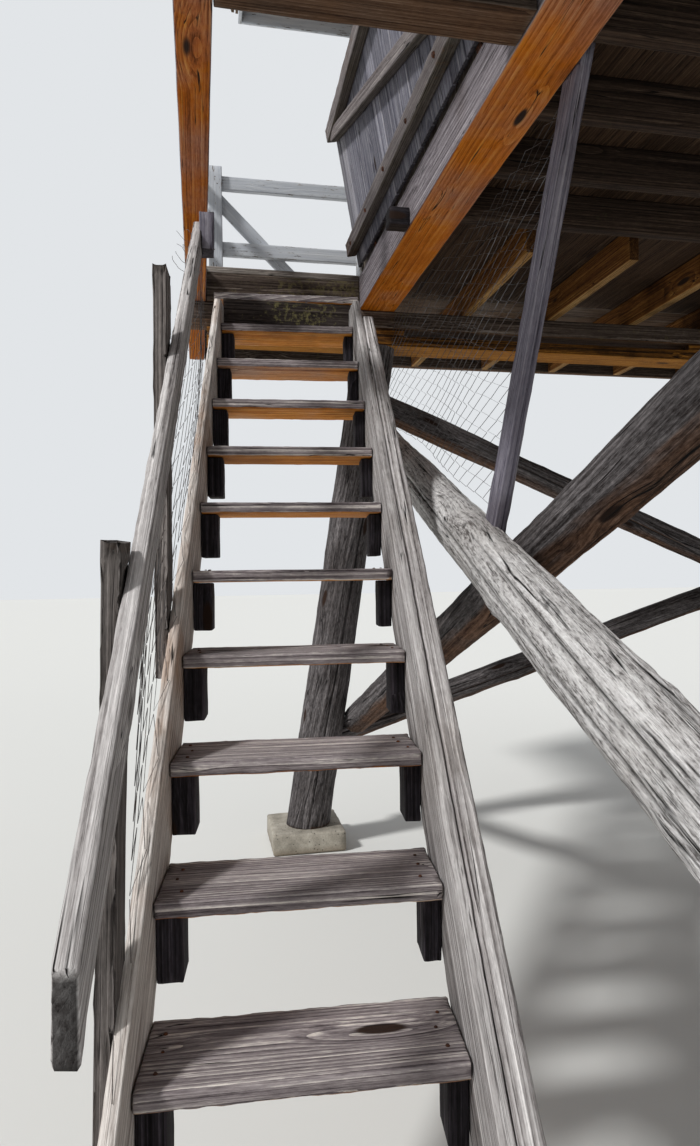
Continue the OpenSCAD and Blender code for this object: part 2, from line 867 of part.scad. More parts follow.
// The fixed hinge leaves on the cab wall, each with two ears and the pin between them
module hinge_leaves() {
    leaf_t = 4;
    leaf_h = 55;
    to_wall = wall_set - hinge_in;
    half = knuckle_w / 2 + 1 + hinge_ear_w;
    color("#4a3a30")
        translate([hinge_in - cab_r, deck_edge_y - opening_l / 2, deck_h + hinge_up])
            for (y = hinge_at) {
                translate([to_wall - leaf_t, y - half, -hinge_up])
                    cube([leaf_t, 2 * half, leaf_h]);
                for (side = [-1, 1])
                    translate([0, y + side * (half - hinge_ear_w / 2), 0]) {
                        translate([0, -hinge_ear_w / 2, -knuckle_d / 2])
                            cube([to_wall, hinge_ear_w, knuckle_d]);
                        translate([0, hinge_ear_w / 2, 0])
                            rotate([90, 0, 0])
                                cylinder(h = hinge_ear_w, d = knuckle_d);
                    }
                translate([0, y - half, 0])
                    rotate([-90, 0, 0])
                        cylinder(h = 2 * half, d = pin_d);
            }
}

// Window openings of one wall, drawn along X from its middle
function window_w(run) = (run - (windows - 1) * mullion_w) / windows;
function window_x(run, i) = -run / 2 + i * (window_w(run) + mullion_w);
window_run = wall_w - 2 * wall_t - 2 * mullion_w;
window_z = floor_z + window_sill_h;

module window_holes(skip) {
    for (i = [0:windows - 1])
        if (i != skip)
            translate([window_x(window_run, i), -over, window_z])
                cube([window_w(window_run), wall_t + 2 * over, window_h]);
}

// A wall along X with its outer face at y = 0
module plain_wall(length, skip) {
    difference() {
        translate([-length / 2, 0, floor_z])
            cube([length, wall_t, wall_top - floor_z]);
        window_holes(skip);
    }
}

// Stands its children on one side of the cab, outer face outwards
module on_side(turn) {
    rotate([0, 0, turn])
        translate([0, -wall_r, 0])
            children();
}

module wall_left() {
    color("#8f8a80")
        on_side(-90)
            plain_wall(wall_w - 2 * wall_t, -1);
}

module wall_right() {
    color("#8f8a80")
        on_side(90)
            plain_wall(wall_w - 2 * wall_t, -1);
}

module wall_front() {
    color("#8f8a80")
        on_side(0)
            plain_wall(wall_w, -1);
}

// The back wall has the doorway in place of its middle window
door_x = -door_w / 2;
module wall_back() {
    color("#8f8a80")
        on_side(180)
            difference() {
                plain_wall(wall_w, 1);
                translate([door_x, -over, floor_z])
                    cube([door_w, wall_t + 2 * over, door_h]);
            }
}

module door_leaf() {
    gap = 4;
    color("#6f6a61")
        on_side(180)
            translate([door_x, wall_t - door_t - 10, floor_z])
                cube([door_w - gap, door_t, door_h - gap]);
}

module one_sash() {
    w = window_w(window_run);
    difference() {
        cube([w, sash_t, window_h]);
        translate([sash_w, -over, sash_w])
            cube([w - 2 * sash_w, sash_t + 2 * over, window_h - 2 * sash_w]);
        translate([sash_w - 12, (sash_t - glass_t) / 2, sash_w - 12])
            cube([w - 2 * sash_w + 24, glass_t, window_h - 2 * sash_w + 24]);
    }
}

// Runs over every window of the cab
module each_window() {
    for (turn = [0, 90, -90, 180], i = [0:windows - 1])
        if (turn != 180 || i != 1)
            on_side(turn)
                translate([window_x(window_run, i), (wall_t - sash_t) / 2, window_z])
                    children();
}

module window_sashes() {
    color("#c9c8c0")
        each_window()
            one_sash();
}

module window_glass() {
    w = window_w(window_run);
    color("#9fb4bf")
        each_window()
            translate([sash_w - 12 + fit, (sash_t - glass_t) / 2 + fit, sash_w - 12 + fit])
                cube([w - 2 * sash_w + 24 - 2 * fit, glass_t - 2 * fit, window_h - 2 * sash_w + 24 - 2 * fit]);
}

module top_plate() {
    color("#7a6f63")
        difference() {
            block([-wall_r, wall_r], [-wall_r, wall_r], [wall_top, wall_top + plate_h]);
            block([wall_t - wall_r, wall_r - wall_t], [wall_t - wall_r, wall_r - wall_t],
                [wall_top - over, wall_top + plate_h + over]);
        }
}

// A hip roof: four sloping slabs that almost meet at the hips
module roof() {
    half = wall_r + eave;
    z_wall = wall_top + plate_h;
    z_eave = z_wall - eave * tan(roof_slope);
    up = roof_t / cos(roof_slope);
    z_top = half * tan(roof_slope);
    color("#7d7266")
        for (turn = [0:90:270])
            rotate([0, 0, turn])
                intersection() {
                    rotate([90, 0, 90])
                        translate([0, 0, -half])
                            linear_extrude(height = 2 * half)
                                polygon([[-half, z_eave], [0, z_eave + z_top], [0, z_eave + z_top + up],
                                    [-half, z_eave + up]]);
                    linear_extrude(height = 3 * wall_top)
                        polygon([[0, -fit], [fit - half, -half], [half - fit, -half]]);
                }
}

// Puts the whole tower's middle on the origin
module placed() {
    translate([-middle_x, 0, 0])
        children();
}

placed() {
    footings();
    legs();
    outer_braces();
    inner_braces();
    back_braces();
    front_braces();
    cap_beams();
    bolsters();
    sills();
    outriggers();
    side_rims();
    end_rims();
    floor_joists();
    catwalk_joists();
    cab_floor();
    deck_left();
    deck_right();
    deck_front();
    deck_back();
    stair_headers();
    stringer_left();
    stringer_right();
    sister_plank();
    cleats();
    treads();
    handrail();
    handrail_posts();
    handrail_hanger();
    netting_post();
    railing_left();
    railing_right();
    railing_front();
    railing_back();
    hatch_ledger();
    hatch_boards();
    hatch_frame();
    hatch_straps();
    hinge_leaves();
    wall_left();
    wall_right();
    wall_front();
    wall_back();
    window_sashes();
    window_glass();
    door_leaf();
    top_plate();
    roof();
}
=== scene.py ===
import json
import math
import random

import bmesh
import bpy
import numpy as np
from mathutils import Matrix, Vector, noise

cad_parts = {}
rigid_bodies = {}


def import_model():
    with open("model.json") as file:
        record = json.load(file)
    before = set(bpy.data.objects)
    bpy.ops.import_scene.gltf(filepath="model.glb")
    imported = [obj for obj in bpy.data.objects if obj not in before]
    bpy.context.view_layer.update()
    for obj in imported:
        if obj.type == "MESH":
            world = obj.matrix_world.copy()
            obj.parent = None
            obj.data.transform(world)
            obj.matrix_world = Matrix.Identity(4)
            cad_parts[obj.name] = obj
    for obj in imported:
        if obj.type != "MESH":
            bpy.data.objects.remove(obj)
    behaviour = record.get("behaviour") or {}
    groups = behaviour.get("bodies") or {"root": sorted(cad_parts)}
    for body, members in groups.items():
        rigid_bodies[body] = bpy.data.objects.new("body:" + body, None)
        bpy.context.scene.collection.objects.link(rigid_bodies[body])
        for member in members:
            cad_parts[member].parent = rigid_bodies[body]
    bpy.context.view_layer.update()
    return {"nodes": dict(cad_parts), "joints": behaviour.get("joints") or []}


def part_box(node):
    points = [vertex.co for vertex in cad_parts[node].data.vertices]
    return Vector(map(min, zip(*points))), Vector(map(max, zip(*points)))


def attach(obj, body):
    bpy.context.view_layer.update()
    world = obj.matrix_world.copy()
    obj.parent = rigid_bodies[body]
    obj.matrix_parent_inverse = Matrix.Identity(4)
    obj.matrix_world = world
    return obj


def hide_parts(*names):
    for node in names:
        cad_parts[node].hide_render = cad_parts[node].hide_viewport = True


for spare in list(bpy.data.objects):
    bpy.data.objects.remove(spare)
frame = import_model()
cadNodes = frame["nodes"]
print("frame loaded:", len(cadNodes), "nodes")

# The tower's own middle is a little off the origin, because the stair stands out on the left
rimLow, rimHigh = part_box("side_rims")
middleX = (rimLow.x + rimHigh.x) / 2
boardX, boardY, boardZ = Vector((1, 0, 0)), Vector((0, 1, 0)), Vector((0, 0, 1))


def linearColour(hexText):
    values = [int(hexText[i:i + 2], 16) / 255 for i in (1, 3, 5)]
    return tuple(v / 12.92 if v <= 0.04045 else ((v + 0.055) / 1.055) ** 2.4 for v in values) + (1.0,)


def addNode(tree, kind, inputs=None, **settings):
    # Adds a node: an input is a value, a socket, or a node whose first output is linked
    node = tree.nodes.new(kind)
    for key, value in settings.items():
        if key == "stops":
            ramp = node.color_ramp
            while len(ramp.elements) < len(value):
                ramp.elements.new(0.5)
            for element, (place, colour) in zip(ramp.elements, value):
                element.position = place
                element.color = linearColour(colour)
        else:
            setattr(node, key, value)
    for key, value in (inputs or {}).items():
        if isinstance(value, bpy.types.Node):
            value = value.outputs[0]
        if isinstance(value, bpy.types.NodeSocket):
            tree.links.new(value, node.inputs[key])
        else:
            node.inputs[key].default_value = value
    return node


def newMaterial(name):
    material = bpy.data.materials.new(name)
    material.use_nodes = True
    material.node_tree.nodes.clear()
    return material, material.node_tree


def finishMaterial(tree, shader):
    addNode(tree, "ShaderNodeOutputMaterial", {"Surface": shader})


# What all woods share, in metres: every timber has its own grain coordinates, x along the fibres and y, z across them
woodDefaults = {
    "fibreWidth": 0.0022,
    "fibreLength": 0.16,
    "streakWidth": 0.013,
    "streakLength": 0.7,
    "ringWidth": 0.009,       # wider than real rings, so that they show at 3 m
    "checkSpacing": 0.030,
    "checkLength": 0.9,
    "knotAcross": 0.15,
    "knotAlong": 0.5,
    "patch": 0.55,
    "mottleWidth": 0.006,
    "mottleLength": 0.030,
    "ringShare": 0.22,        # how much of the figure comes from rings and from mottling
    "mottleShare": 0.45,
    "knots": 0.45,            # share of the cells that hold a knot
    "checkWidth": 0.016,
    "knot": "#2e2019",
    "check": "#120f0e",
    "underShare": 0.9,        # how much of the under-face colour, sheltered wood with painted ground bounce, an under face gets
    "stainShare": 0.5,
    "mossShare": 0.0,
    "moss": "#6b6a3a",
    "wearShare": 0.55,
    "toneSpread": 0.2,
    "rough": 0.86,
    "bump": 0.55,
}


def weatheredWood(name, look):
    material, tree = newMaterial(name)
    s = dict(woodDefaults, **look)
    dark, mid, pale, lit = s["sun"].split()
    underDark, under, underPale = s["shade"].split()
    grain = addNode(tree, "ShaderNodeAttribute", attribute_name="grain").outputs["Vector"]
    tone = addNode(tree, "ShaderNodeAttribute", attribute_name="tone").outputs["Fac"]
    wear = addNode(tree, "ShaderNodeAttribute", attribute_name="wear").outputs["Fac"]
    crack = addNode(tree, "ShaderNodeAttribute", attribute_name="crack").outputs["Fac"]
    place = addNode(tree, "ShaderNodeTexCoord")

    # Knots sit in long cells, and the fibres bend round them
    knotPlace = addNode(tree, "ShaderNodeVectorMath", {0: grain, 1: (1 / s["knotAlong"], 1 / s["knotAcross"],
        1 / s["knotAcross"])}, operation="MULTIPLY")
    knotCell = addNode(tree, "ShaderNodeTexVoronoi", {"Vector": knotPlace, "Scale": 1.0})
    knotPick = addNode(tree, "ShaderNodeSeparateColor", {"Color": knotCell.outputs["Color"]})
    knotOn = addNode(tree, "ShaderNodeMath", {0: knotPick, 1: s["knots"]}, operation="LESS_THAN")
    knotCore = addNode(tree, "ShaderNodeMapRange", {"Value": knotCell.outputs["Distance"], "From Min": 0.13,
        "From Max": 0.085}, interpolation_type="SMOOTHSTEP")
    knotBend = addNode(tree, "ShaderNodeMapRange", {"Value": knotCell.outputs["Distance"], "From Min": 0.42,
        "From Max": 0.08, "To Max": 0.016}, interpolation_type="SMOOTHSTEP")
    knot = addNode(tree, "ShaderNodeMath", {0: knotCore, 1: knotOn}, operation="MULTIPLY")
    bend = addNode(tree, "ShaderNodeMath", {0: knotBend, 1: knotOn}, operation="MULTIPLY")
    bendVector = addNode(tree, "ShaderNodeCombineXYZ", {"Y": bend, "Z": bend})
    bent = addNode(tree, "ShaderNodeVectorMath", {0: grain, 1: bendVector}, operation="ADD").outputs[0]

    ringStep = 0.314 / s["ringWidth"]
    ringPlace = addNode(tree, "ShaderNodeVectorMath", {0: bent, 1: (ringStep * 0.035, ringStep, ringStep)},
        operation="MULTIPLY")
    rings = addNode(tree, "ShaderNodeTexWave", {"Vector": ringPlace, "Scale": 1.0, "Distortion": 5.0, "Detail": 2.0,
        "Detail Scale": 0.35, "Detail Roughness": 0.5}, wave_type="RINGS", rings_direction="X", wave_profile="SAW")
    fibrePlace = addNode(tree, "ShaderNodeVectorMath", {0: bent, 1: (1 / s["fibreLength"], 1 / s["fibreWidth"],
        1 / s["fibreWidth"])}, operation="MULTIPLY")
    fibres = addNode(tree, "ShaderNodeTexNoise", {"Vector": fibrePlace, "Scale": 1.0, "Detail": 2.0, "Roughness": 0.6})
    streakPlace = addNode(tree, "ShaderNodeVectorMath", {0: bent, 1: (1 / s["streakLength"], 1 / s["streakWidth"],
        1 / s["streakWidth"])}, operation="MULTIPLY")
    streaks = addNode(tree, "ShaderNodeTexNoise", {"Vector": streakPlace, "Scale": 1.0, "Detail": 4.0,
        "Roughness": 0.62})
    patches = addNode(tree, "ShaderNodeTexNoise", {"Vector": place.outputs["Object"], "Scale": 1 / s["patch"],
        "Detail": 5.0, "Roughness": 0.6})

    # Drying checks: thin lines along the fibres, in some stretches only
    checkPlace = addNode(tree, "ShaderNodeVectorMath", {0: bent, 1: (1 / s["checkLength"], 1 / s["checkSpacing"],
        1 / s["checkSpacing"])}, operation="MULTIPLY")
    checkNoise = addNode(tree, "ShaderNodeTexNoise", {"Vector": checkPlace, "Scale": 1.0, "Detail": 2.5,
        "Roughness": 0.45})
    checkOff = addNode(tree, "ShaderNodeMath", {0: checkNoise, 1: 0.5}, operation="SUBTRACT")
    checkAbs = addNode(tree, "ShaderNodeMath", {0: checkOff}, operation="ABSOLUTE")
    checkLine = addNode(tree, "ShaderNodeMapRange", {"Value": checkAbs, "From Min": s["checkWidth"],
        "From Max": 0.003}, interpolation_type="SMOOTHSTEP")
    checkWhere = addNode(tree, "ShaderNodeMapRange", {"Value": streaks, "From Min": 0.5, "From Max": 0.6})
    checkSome = addNode(tree, "ShaderNodeMath", {0: checkLine, 1: checkWhere}, operation="MULTIPLY")
    checks = addNode(tree, "ShaderNodeMath", {0: checkSome, 1: crack}, operation="MAXIMUM")

    mottlePlace = addNode(tree, "ShaderNodeVectorMath", {0: bent, 1: (1 / s["mottleLength"], 1 / s["mottleWidth"],
        1 / s["mottleWidth"])}, operation="MULTIPLY")
    mottle = addNode(tree, "ShaderNodeTexNoise", {"Vector": mottlePlace, "Scale": 1.0, "Detail": 4.0,
        "Roughness": 0.72})

    # One figure from rings, streaks, fibres and mottling picks the colour between latewood dark and earlywood pale
    figureA = addNode(tree, "ShaderNodeMath", {0: rings.outputs["Fac"], 1: s["ringShare"], 2: streaks},
        operation="MULTIPLY_ADD")
    figureB = addNode(tree, "ShaderNodeMath", {0: fibres, 1: 0.42, 2: figureA}, operation="MULTIPLY_ADD")
    fine = s["mottleShare"]
    figureC = addNode(tree, "ShaderNodeMath", {0: mottle, 1: fine, 2: figureB}, operation="MULTIPLY_ADD")
    figure = addNode(tree, "ShaderNodeMapRange", {"Value": figureC, "From Min": 0.56 + 0.44 * fine,
        "From Max": 1.08 + 0.56 * fine})
    weathered = addNode(tree, "ShaderNodeValToRGB", {"Fac": figure},
        stops=[(0.0, dark), (0.34, mid), (0.72, pale), (1.0, lit)])
    shelteredAndBounceLit = addNode(tree, "ShaderNodeValToRGB", {"Fac": figure},
        stops=[(0.0, underDark), (0.45, under), (1.0, underPale)])
    # Sun and rain never reach the under faces, which keep the colour of old dry pine; their bright orange is partly
    # painted light, reflected up from the ground
    facing = addNode(tree, "ShaderNodeSeparateXYZ", {"Vector": place.outputs["Normal"]})
    downward = addNode(tree, "ShaderNodeMapRange", {"Value": facing.outputs["Z"], "From Min": -0.45, "From Max": -0.85,
        "To Max": s["underShare"]}, interpolation_type="SMOOTHSTEP")
    underEdge = addNode(tree, "ShaderNodeMapRange", {"Value": patches, "From Min": 0.32, "From Max": 0.55,
        "To Min": 0.45})
    underAndBounceShare = addNode(tree, "ShaderNodeMath", {0: downward, 1: underEdge}, operation="MULTIPLY")
    body = addNode(tree, "ShaderNodeMix", {0: underAndBounceShare, 6: weathered, 7: shelteredAndBounceLit}, data_type="RGBA")
    # Stains in large patches, then lichen or moss
    stainShare = addNode(tree, "ShaderNodeMapRange", {"Value": patches, "From Min": 0.5, "From Max": 0.72,
        "To Max": s["stainShare"]}, interpolation_type="SMOOTHSTEP")
    stained = addNode(tree, "ShaderNodeMix", {0: stainShare, 6: body.outputs[2], 7: linearColour(s["stain"])},
        data_type="RGBA", blend_type="MULTIPLY")
    mossNoise = addNode(tree, "ShaderNodeTexNoise", {"Vector": place.outputs["Object"], "Scale": 38.0, "Detail": 4.0,
        "Roughness": 0.7})
    mossMask = addNode(tree, "ShaderNodeMath", {0: mossNoise, 1: patches}, operation="MULTIPLY")
    mossShare = addNode(tree, "ShaderNodeMapRange", {"Value": mossMask, "From Min": 0.31, "From Max": 0.38,
        "To Max": s["mossShare"]})
    mossy = addNode(tree, "ShaderNodeMix", {0: mossShare, 6: stained.outputs[2],
        7: linearColour(s["moss"])}, data_type="RGBA")
    # Worn arrises go pale, and the hatch's two far boards as painted sunlight; knots, checks and end grain go dark, and
    # the handrail's low end darker as painted shade
    wearNoise = addNode(tree, "ShaderNodeMath", {0: wear, 1: streaks}, operation="MULTIPLY")
    wearShare = addNode(tree, "ShaderNodeMapRange", {"Value": wearNoise, "From Min": 0.25, "From Max": 0.62,
        "To Max": s["wearShare"]})
    worn = addNode(tree, "ShaderNodeMix", {0: wearShare, 6: mossy.outputs[2], 7: linearColour(lit)}, data_type="RGBA")
    knotted = addNode(tree, "ShaderNodeMix", {0: knot, 6: worn.outputs[2], 7: linearColour(s["knot"])},
        data_type="RGBA")
    split = addNode(tree, "ShaderNodeMix", {0: checks, 6: knotted.outputs[2],
        7: linearColour(s["check"])}, data_type="RGBA")
    toned = addNode(tree, "ShaderNodeMapRange", {"Value": tone, "To Min": 1 - s["toneSpread"],
        "To Max": 1 + s["toneSpread"]})
    colour = addNode(tree, "ShaderNodeVectorMath", {0: split.outputs[2], "Scale": toned}, operation="SCALE").outputs[0]

    # Fibres stand proud where the soft wood has washed out, and the checks cut in
    heightA = addNode(tree, "ShaderNodeMath", {0: fibres, 1: 0.45, 2: figure}, operation="MULTIPLY_ADD")
    heightB = addNode(tree, "ShaderNodeMath", {0: checks, 1: -2.4, 2: heightA}, operation="MULTIPLY_ADD")
    height = heightB.outputs[0]
    if "paint" in s:
        # Old paint holds on in scales, and flakes off first along the grain, at the arrises and by the knots
        flakePlace = addNode(tree, "ShaderNodeVectorMath", {0: grain, 1: (14.0, 95.0, 95.0)}, operation="MULTIPLY")
        flakes = addNode(tree, "ShaderNodeTexNoise", {"Vector": flakePlace, "Scale": 1.0, "Detail": 6.0,
            "Roughness": 0.7})
        hold = addNode(tree, "ShaderNodeMath", {0: patches, 1: 0.42, 2: flakes}, operation="MULTIPLY_ADD")
        loose = addNode(tree, "ShaderNodeMath", {0: wear, 1: 0.07, 2: hold}, operation="MULTIPLY_ADD")
        bare = addNode(tree, "ShaderNodeMapRange", {"Value": loose, "From Min": s["paintLoss"],
            "From Max": s["paintLoss"] + 0.035}, interpolation_type="SMOOTHSTEP")
        chalk = addNode(tree, "ShaderNodeValToRGB", {"Fac": streaks}, stops=[(0.3, s["paintDull"]), (0.62, s["paint"]),
            (0.85, s["paintPale"])])
        painted = addNode(tree, "ShaderNodeMix", {0: bare, 6: chalk, 7: colour}, data_type="RGBA")
        colour = painted.outputs[2]
        film = addNode(tree, "ShaderNodeMath", {0: bare, 1: -1.2, 2: heightA}, operation="MULTIPLY_ADD")
        height = film.outputs[0]
    bump = addNode(tree, "ShaderNodeBump", {"Strength": s["bump"], "Distance": 0.003, "Height": height})
    shader = addNode(tree, "ShaderNodeBsdfPrincipled", {"Base Color": colour, "Roughness": s["rough"], "IOR": 1.5,
        "Specular IOR Level": 0.12, "Normal": bump})
    finishMaterial(tree, shader)
    return material


# Colours by finish: sun holds the dark, mid, pale and lit wood of the weathered faces, and shade the dark, middle and
# pale of the under faces
woodLooks = {
    # Peeled pine logs, pale silver: the lit copy of the peeled log, with painted sunlight, and dark checks
    "silverLog": {"sun": "#5b5755 #bebbb9 #e2e0de #f6f4f2", "shade": "#4a4341 #77706c #989290", "stain": "#a3978c",
        "underShare": 0.8, "ringShare": 0.05, "checkSpacing": 0.05, "checkWidth": 0.035, "bump": 1.0,
        "streakWidth": 0.011, "mottleShare": 1.1, "mottleWidth": 0.0065, "mottleLength": 0.03, "knots": 0.5,
        "toneSpread": 0.06, "stainShare": 0.3},
    # Peeled logs, brown grey: the shaded copy of the pale log, darkened with painted shade
    "peeledLog": {"sun": "#2a2524 #545050 #7c7777 #a5a09e", "shade": "#3d2410 #7a4f2a #a5713c", "stain": "#75675f",
        "underShare": 0.6, "ringShare": 0.05, "checkSpacing": 0.05, "checkWidth": 0.035, "bump": 0.9,
        "streakWidth": 0.012, "mottleShare": 0.8, "mottleWidth": 0.008, "mottleLength": 0.028, "knots": 0.5,
        "toneSpread": 0.1, "stainShare": 0.55},
    # Rough sawn sill and rim timber: purple grey sides, and a vivid orange brown belly
    "sillTimber": {"sun": "#3a3335 #6b6467 #8d868a #aaa4a6", "shade": "#8a4508 #cd7012 #e39638", "stain": "#8a6a48",
        "underShare": 1.0, "knots": 0.35, "toneSpread": 0.08, "stainShare": 0.35},
    # The rims, with a browner belly than the sills
    "rimTimber": {"sun": "#3a3335 #6b6467 #8d868a #aaa4a6", "shade": "#602e05 #a2550d #bd7a2a", "stain": "#8a6a48",
        "underShare": 1.0, "knots": 0.35, "toneSpread": 0.08, "stainShare": 0.35},
    # Cap beams and headers, dark with age and damp
    "darkBeam": {"sun": "#1d1714 #3c322b #5c5048 #857a70", "shade": "#2e1c10 #6a4526 #8c6038", "stain": "#6b5a4a",
        "underShare": 0.6, "mossShare": 0.35, "moss": "#6f6640"},
    # The riser under the top tread, nearly black with green and yellow lichen
    "lichenBoard": {"sun": "#1a1614 #332c29 #4c4440 #6f665e", "shade": "#2a1a10 #4e3520 #6d4d30", "stain": "#5b4d40",
        "mossShare": 0.75, "moss": "#77704a"},
    # Outriggers and lower caps: planed pine, orange brown where it stays dry; the orange sides and pale belly are
    # partly painted warm bounce light
    "dryAndBounceLitJoist": {"sun": "#2e1b0c #6a4220 #946230 #b98748", "shade": "#5c4426 #a37f4c #c9a874", "stain": "#4d3a2a",
        "underShare": 0.8, "stainShare": 0.85},
    # The lower caps, dark, with orange patches on the under faces: dry wood, and partly painted ground bounce
    "orangeCap": {"sun": "#160f0a #332315 #7c5120 #bb7e30", "shade": "#6d3c10 #b5741f #d59a45", "stain": "#4a3a2c",
        "underShare": 0.95, "stainShare": 0.9},
    # Floor joists, black brown with damp
    "dampJoist": {"sun": "#15100d #2b211b #42352c #5f4f42", "shade": "#140e0a #2e2017 #4a3726", "stain": "#4d4236",
        "underShare": 0.6, "mossShare": 0.25, "moss": "#4c4a30"},
    # Floor boards seen from below, nearly black with age
    "oldFloorBoard": {"sun": "#1c1512 #382b22 #524235 #6d5d4c", "shade": "#1c1410 #3d2c20 #5a4532",
        "stain": "#5a4c40", "underShare": 0.9},
    # Catwalk boards, grey and furred on top
    "greyDeckBoard": {"sun": "#453e39 #736b64 #958d85 #b3aca4", "shade": "#2b1e16 #533d2c #745a42",
        "stain": "#7c7068", "underShare": 0.9},
    # Stair stringers and handrail: silver planks, bleached by the sun
    "silverPlank": {"sun": "#3d3837 #8b8684 #b5b1af #e2dedb", "shade": "#4c3f36 #7c6c5f #9c8d80", "stain": "#94877a",
        "underShare": 0.6, "stainShare": 0.45, "knots": 0.5, "toneSpread": 0.08, "wearShare": 0.85},
    # The left stringer, nearly white with painted sunlight, with orange brown patches low down
    "bleachedPlank": {"sun": "#6d625a #aba29b #d2cbc4 #f0ebe5", "shade": "#4c3f36 #7c6c5f #9c8d80",
        "stain": "#c08d58", "underShare": 0.6, "stainShare": 0.7, "knots": 0.5, "toneSpread": 0.05,
        "wearShare": 0.85},
    # Cleats and posts, darkened with painted shade
    "darkCleat": {"sun": "#110f10 #232022 #39353a #575157", "shade": "#1d1410 #3a2b22 #54412f", "stain": "#4d443f",
        "underShare": 0.6},
    # Rail posts, brown grey with open grain
    "greyPost": {"sun": "#2c2827 #57524f #7a736f #9a938f", "shade": "#33261e #5f4a3a #7d6550", "stain": "#6d5f56",
        "underShare": 0.5},
    # Treads: worn dark on top, pale and torn along the nose, orange brown below
    "wornTread": {"sun": "#3a3335 #756c6d #a09796 #dfd7ce", "shade": "#7c4210 #c4751f #e0a050", "stain": "#544a4a",
        "underShare": 1.0, "wearShare": 0.8, "rough": 0.78, "ringShare": 0.3, "checkSpacing": 0.024,
        "toneSpread": 0.14},
    # Hatch boards: faded purple grey with soft grain
    "fadedHatchBoard": {"sun": "#3d3c45 #63626c #83828a #a5a2a4", "shade": "#3a3436 #615b60 #827c80",
        "stain": "#746a66", "underShare": 0.4, "toneSpread": 0.3, "knots": 0.3},
    "hatchRail": {"sun": "#4a4343 #756d6c #978f8d #b8b0ab", "shade": "#2a231d #4d4738 #6a6148", "stain": "#80624c",
        "underShare": 0.7, "mossShare": 0.3, "moss": "#7a5a3c", "stainShare": 0.6},
    "netPost": {"sun": "#3f3b44 #6a6671 #8b8791 #a9a5ab", "shade": "#3a3233 #5f575a #7d7578", "stain": "#77696a",
        "underShare": 0.5},
    # Railing: old white paint that scales off grey pine
    "flakingWhitePaint": {"sun": "#3d3733 #6d6660 #8e8780 #aaa39b", "shade": "#4d4640 #756d65 #928a82",
        "stain": "#84786e", "underShare": 0.3, "paint": "#d3d6da", "paintDull": "#b9bec6", "paintPale": "#e8eaec",
        "paintLoss": 0.83, "bump": 0.5, "rough": 0.68},
    # Cab cladding, silver brown boards that no paint has touched for years
    "wallBoard": {"sun": "#4a423b #7c7268 #9d938a #bab1a7", "shade": "#4a3828 #7a6048 #9a7c5e", "stain": "#8b7460",
        "underShare": 0.5, "toneSpread": 0.22, "stainShare": 0.6},
    "doorBoard": {"sun": "#37312c #5f574f #7f766d #a0978d", "shade": "#3a2c20 #5e4935 #7a6148", "stain": "#75604c",
        "underShare": 0.5, "toneSpread": 0.15},
    # Split cedar shingles, grey brown with cupped, dark lower edges
    "cedarShingle": {"sun": "#3b332d #6b6058 #8c8178 #aba197", "shade": "#3f2d1d #6e5236 #8f6f4c",
        "stain": "#6d5c4e", "underShare": 0.8, "toneSpread": 0.35, "ringWidth": 0.014, "mossShare": 0.25,
        "moss": "#6a6c4a"},
    # Sheathing boards under the shingles
    "sheathingBoard": {"sun": "#4a2f19 #7d5833 #a07848 #b8925f", "shade": "#4f3219 #865f36 #ab8250",
        "stain": "#6f5a44", "underShare": 1.0},
}
wood = {name: weatheredWood(name, look) for name, look in woodLooks.items()}


def castConcrete():
    # Board-cast concrete: pale paste with grit and air holes, stained from the ground up
    material, tree = newMaterial("castConcrete")
    place = addNode(tree, "ShaderNodeTexCoord").outputs["Object"]
    paste = addNode(tree, "ShaderNodeTexNoise", {"Vector": place, "Scale": 9.0, "Detail": 6.0, "Roughness": 0.65})
    grit = addNode(tree, "ShaderNodeTexVoronoi", {"Vector": place, "Scale": 120.0})
    holes = addNode(tree, "ShaderNodeTexVoronoi", {"Vector": place, "Scale": 34.0})
    pit = addNode(tree, "ShaderNodeMapRange", {"Value": holes.outputs["Distance"], "From Min": 0.16, "From Max": 0.1})
    base = addNode(tree, "ShaderNodeValToRGB", {"Fac": paste}, stops=[(0.28, "#6e695e"), (0.5, "#928c80"),
        (0.72, "#aea89b")])
    speck = addNode(tree, "ShaderNodeMapRange", {"Value": grit.outputs["Distance"], "From Max": 0.6, "To Min": 0.8,
        "To Max": 1.08})
    gritty = addNode(tree, "ShaderNodeVectorMath", {0: base, "Scale": speck}, operation="SCALE")
    pitted = addNode(tree, "ShaderNodeMix", {0: pit, 6: gritty, 7: linearColour("#4c483f")}, data_type="RGBA")
    rise = addNode(tree, "ShaderNodeSeparateXYZ", {"Vector": place})
    splash = addNode(tree, "ShaderNodeMapRange", {"Value": rise.outputs["Z"], "From Min": 0.05, "From Max": 0.0,
        "To Max": 0.7})
    dirty = addNode(tree, "ShaderNodeMix", {0: splash, 6: pitted.outputs[2], 7: linearColour("#6b5b47")},
        data_type="RGBA")
    height = addNode(tree, "ShaderNodeMath", {0: pit, 1: -0.8, 2: paste}, operation="MULTIPLY_ADD")
    bump = addNode(tree, "ShaderNodeBump", {"Strength": 0.6, "Distance": 0.004, "Height": height})
    shader = addNode(tree, "ShaderNodeBsdfPrincipled", {"Base Color": dirty.outputs[2], "Roughness": 0.9, "IOR": 1.5,
        "Normal": bump})
    finishMaterial(tree, shader)
    return material


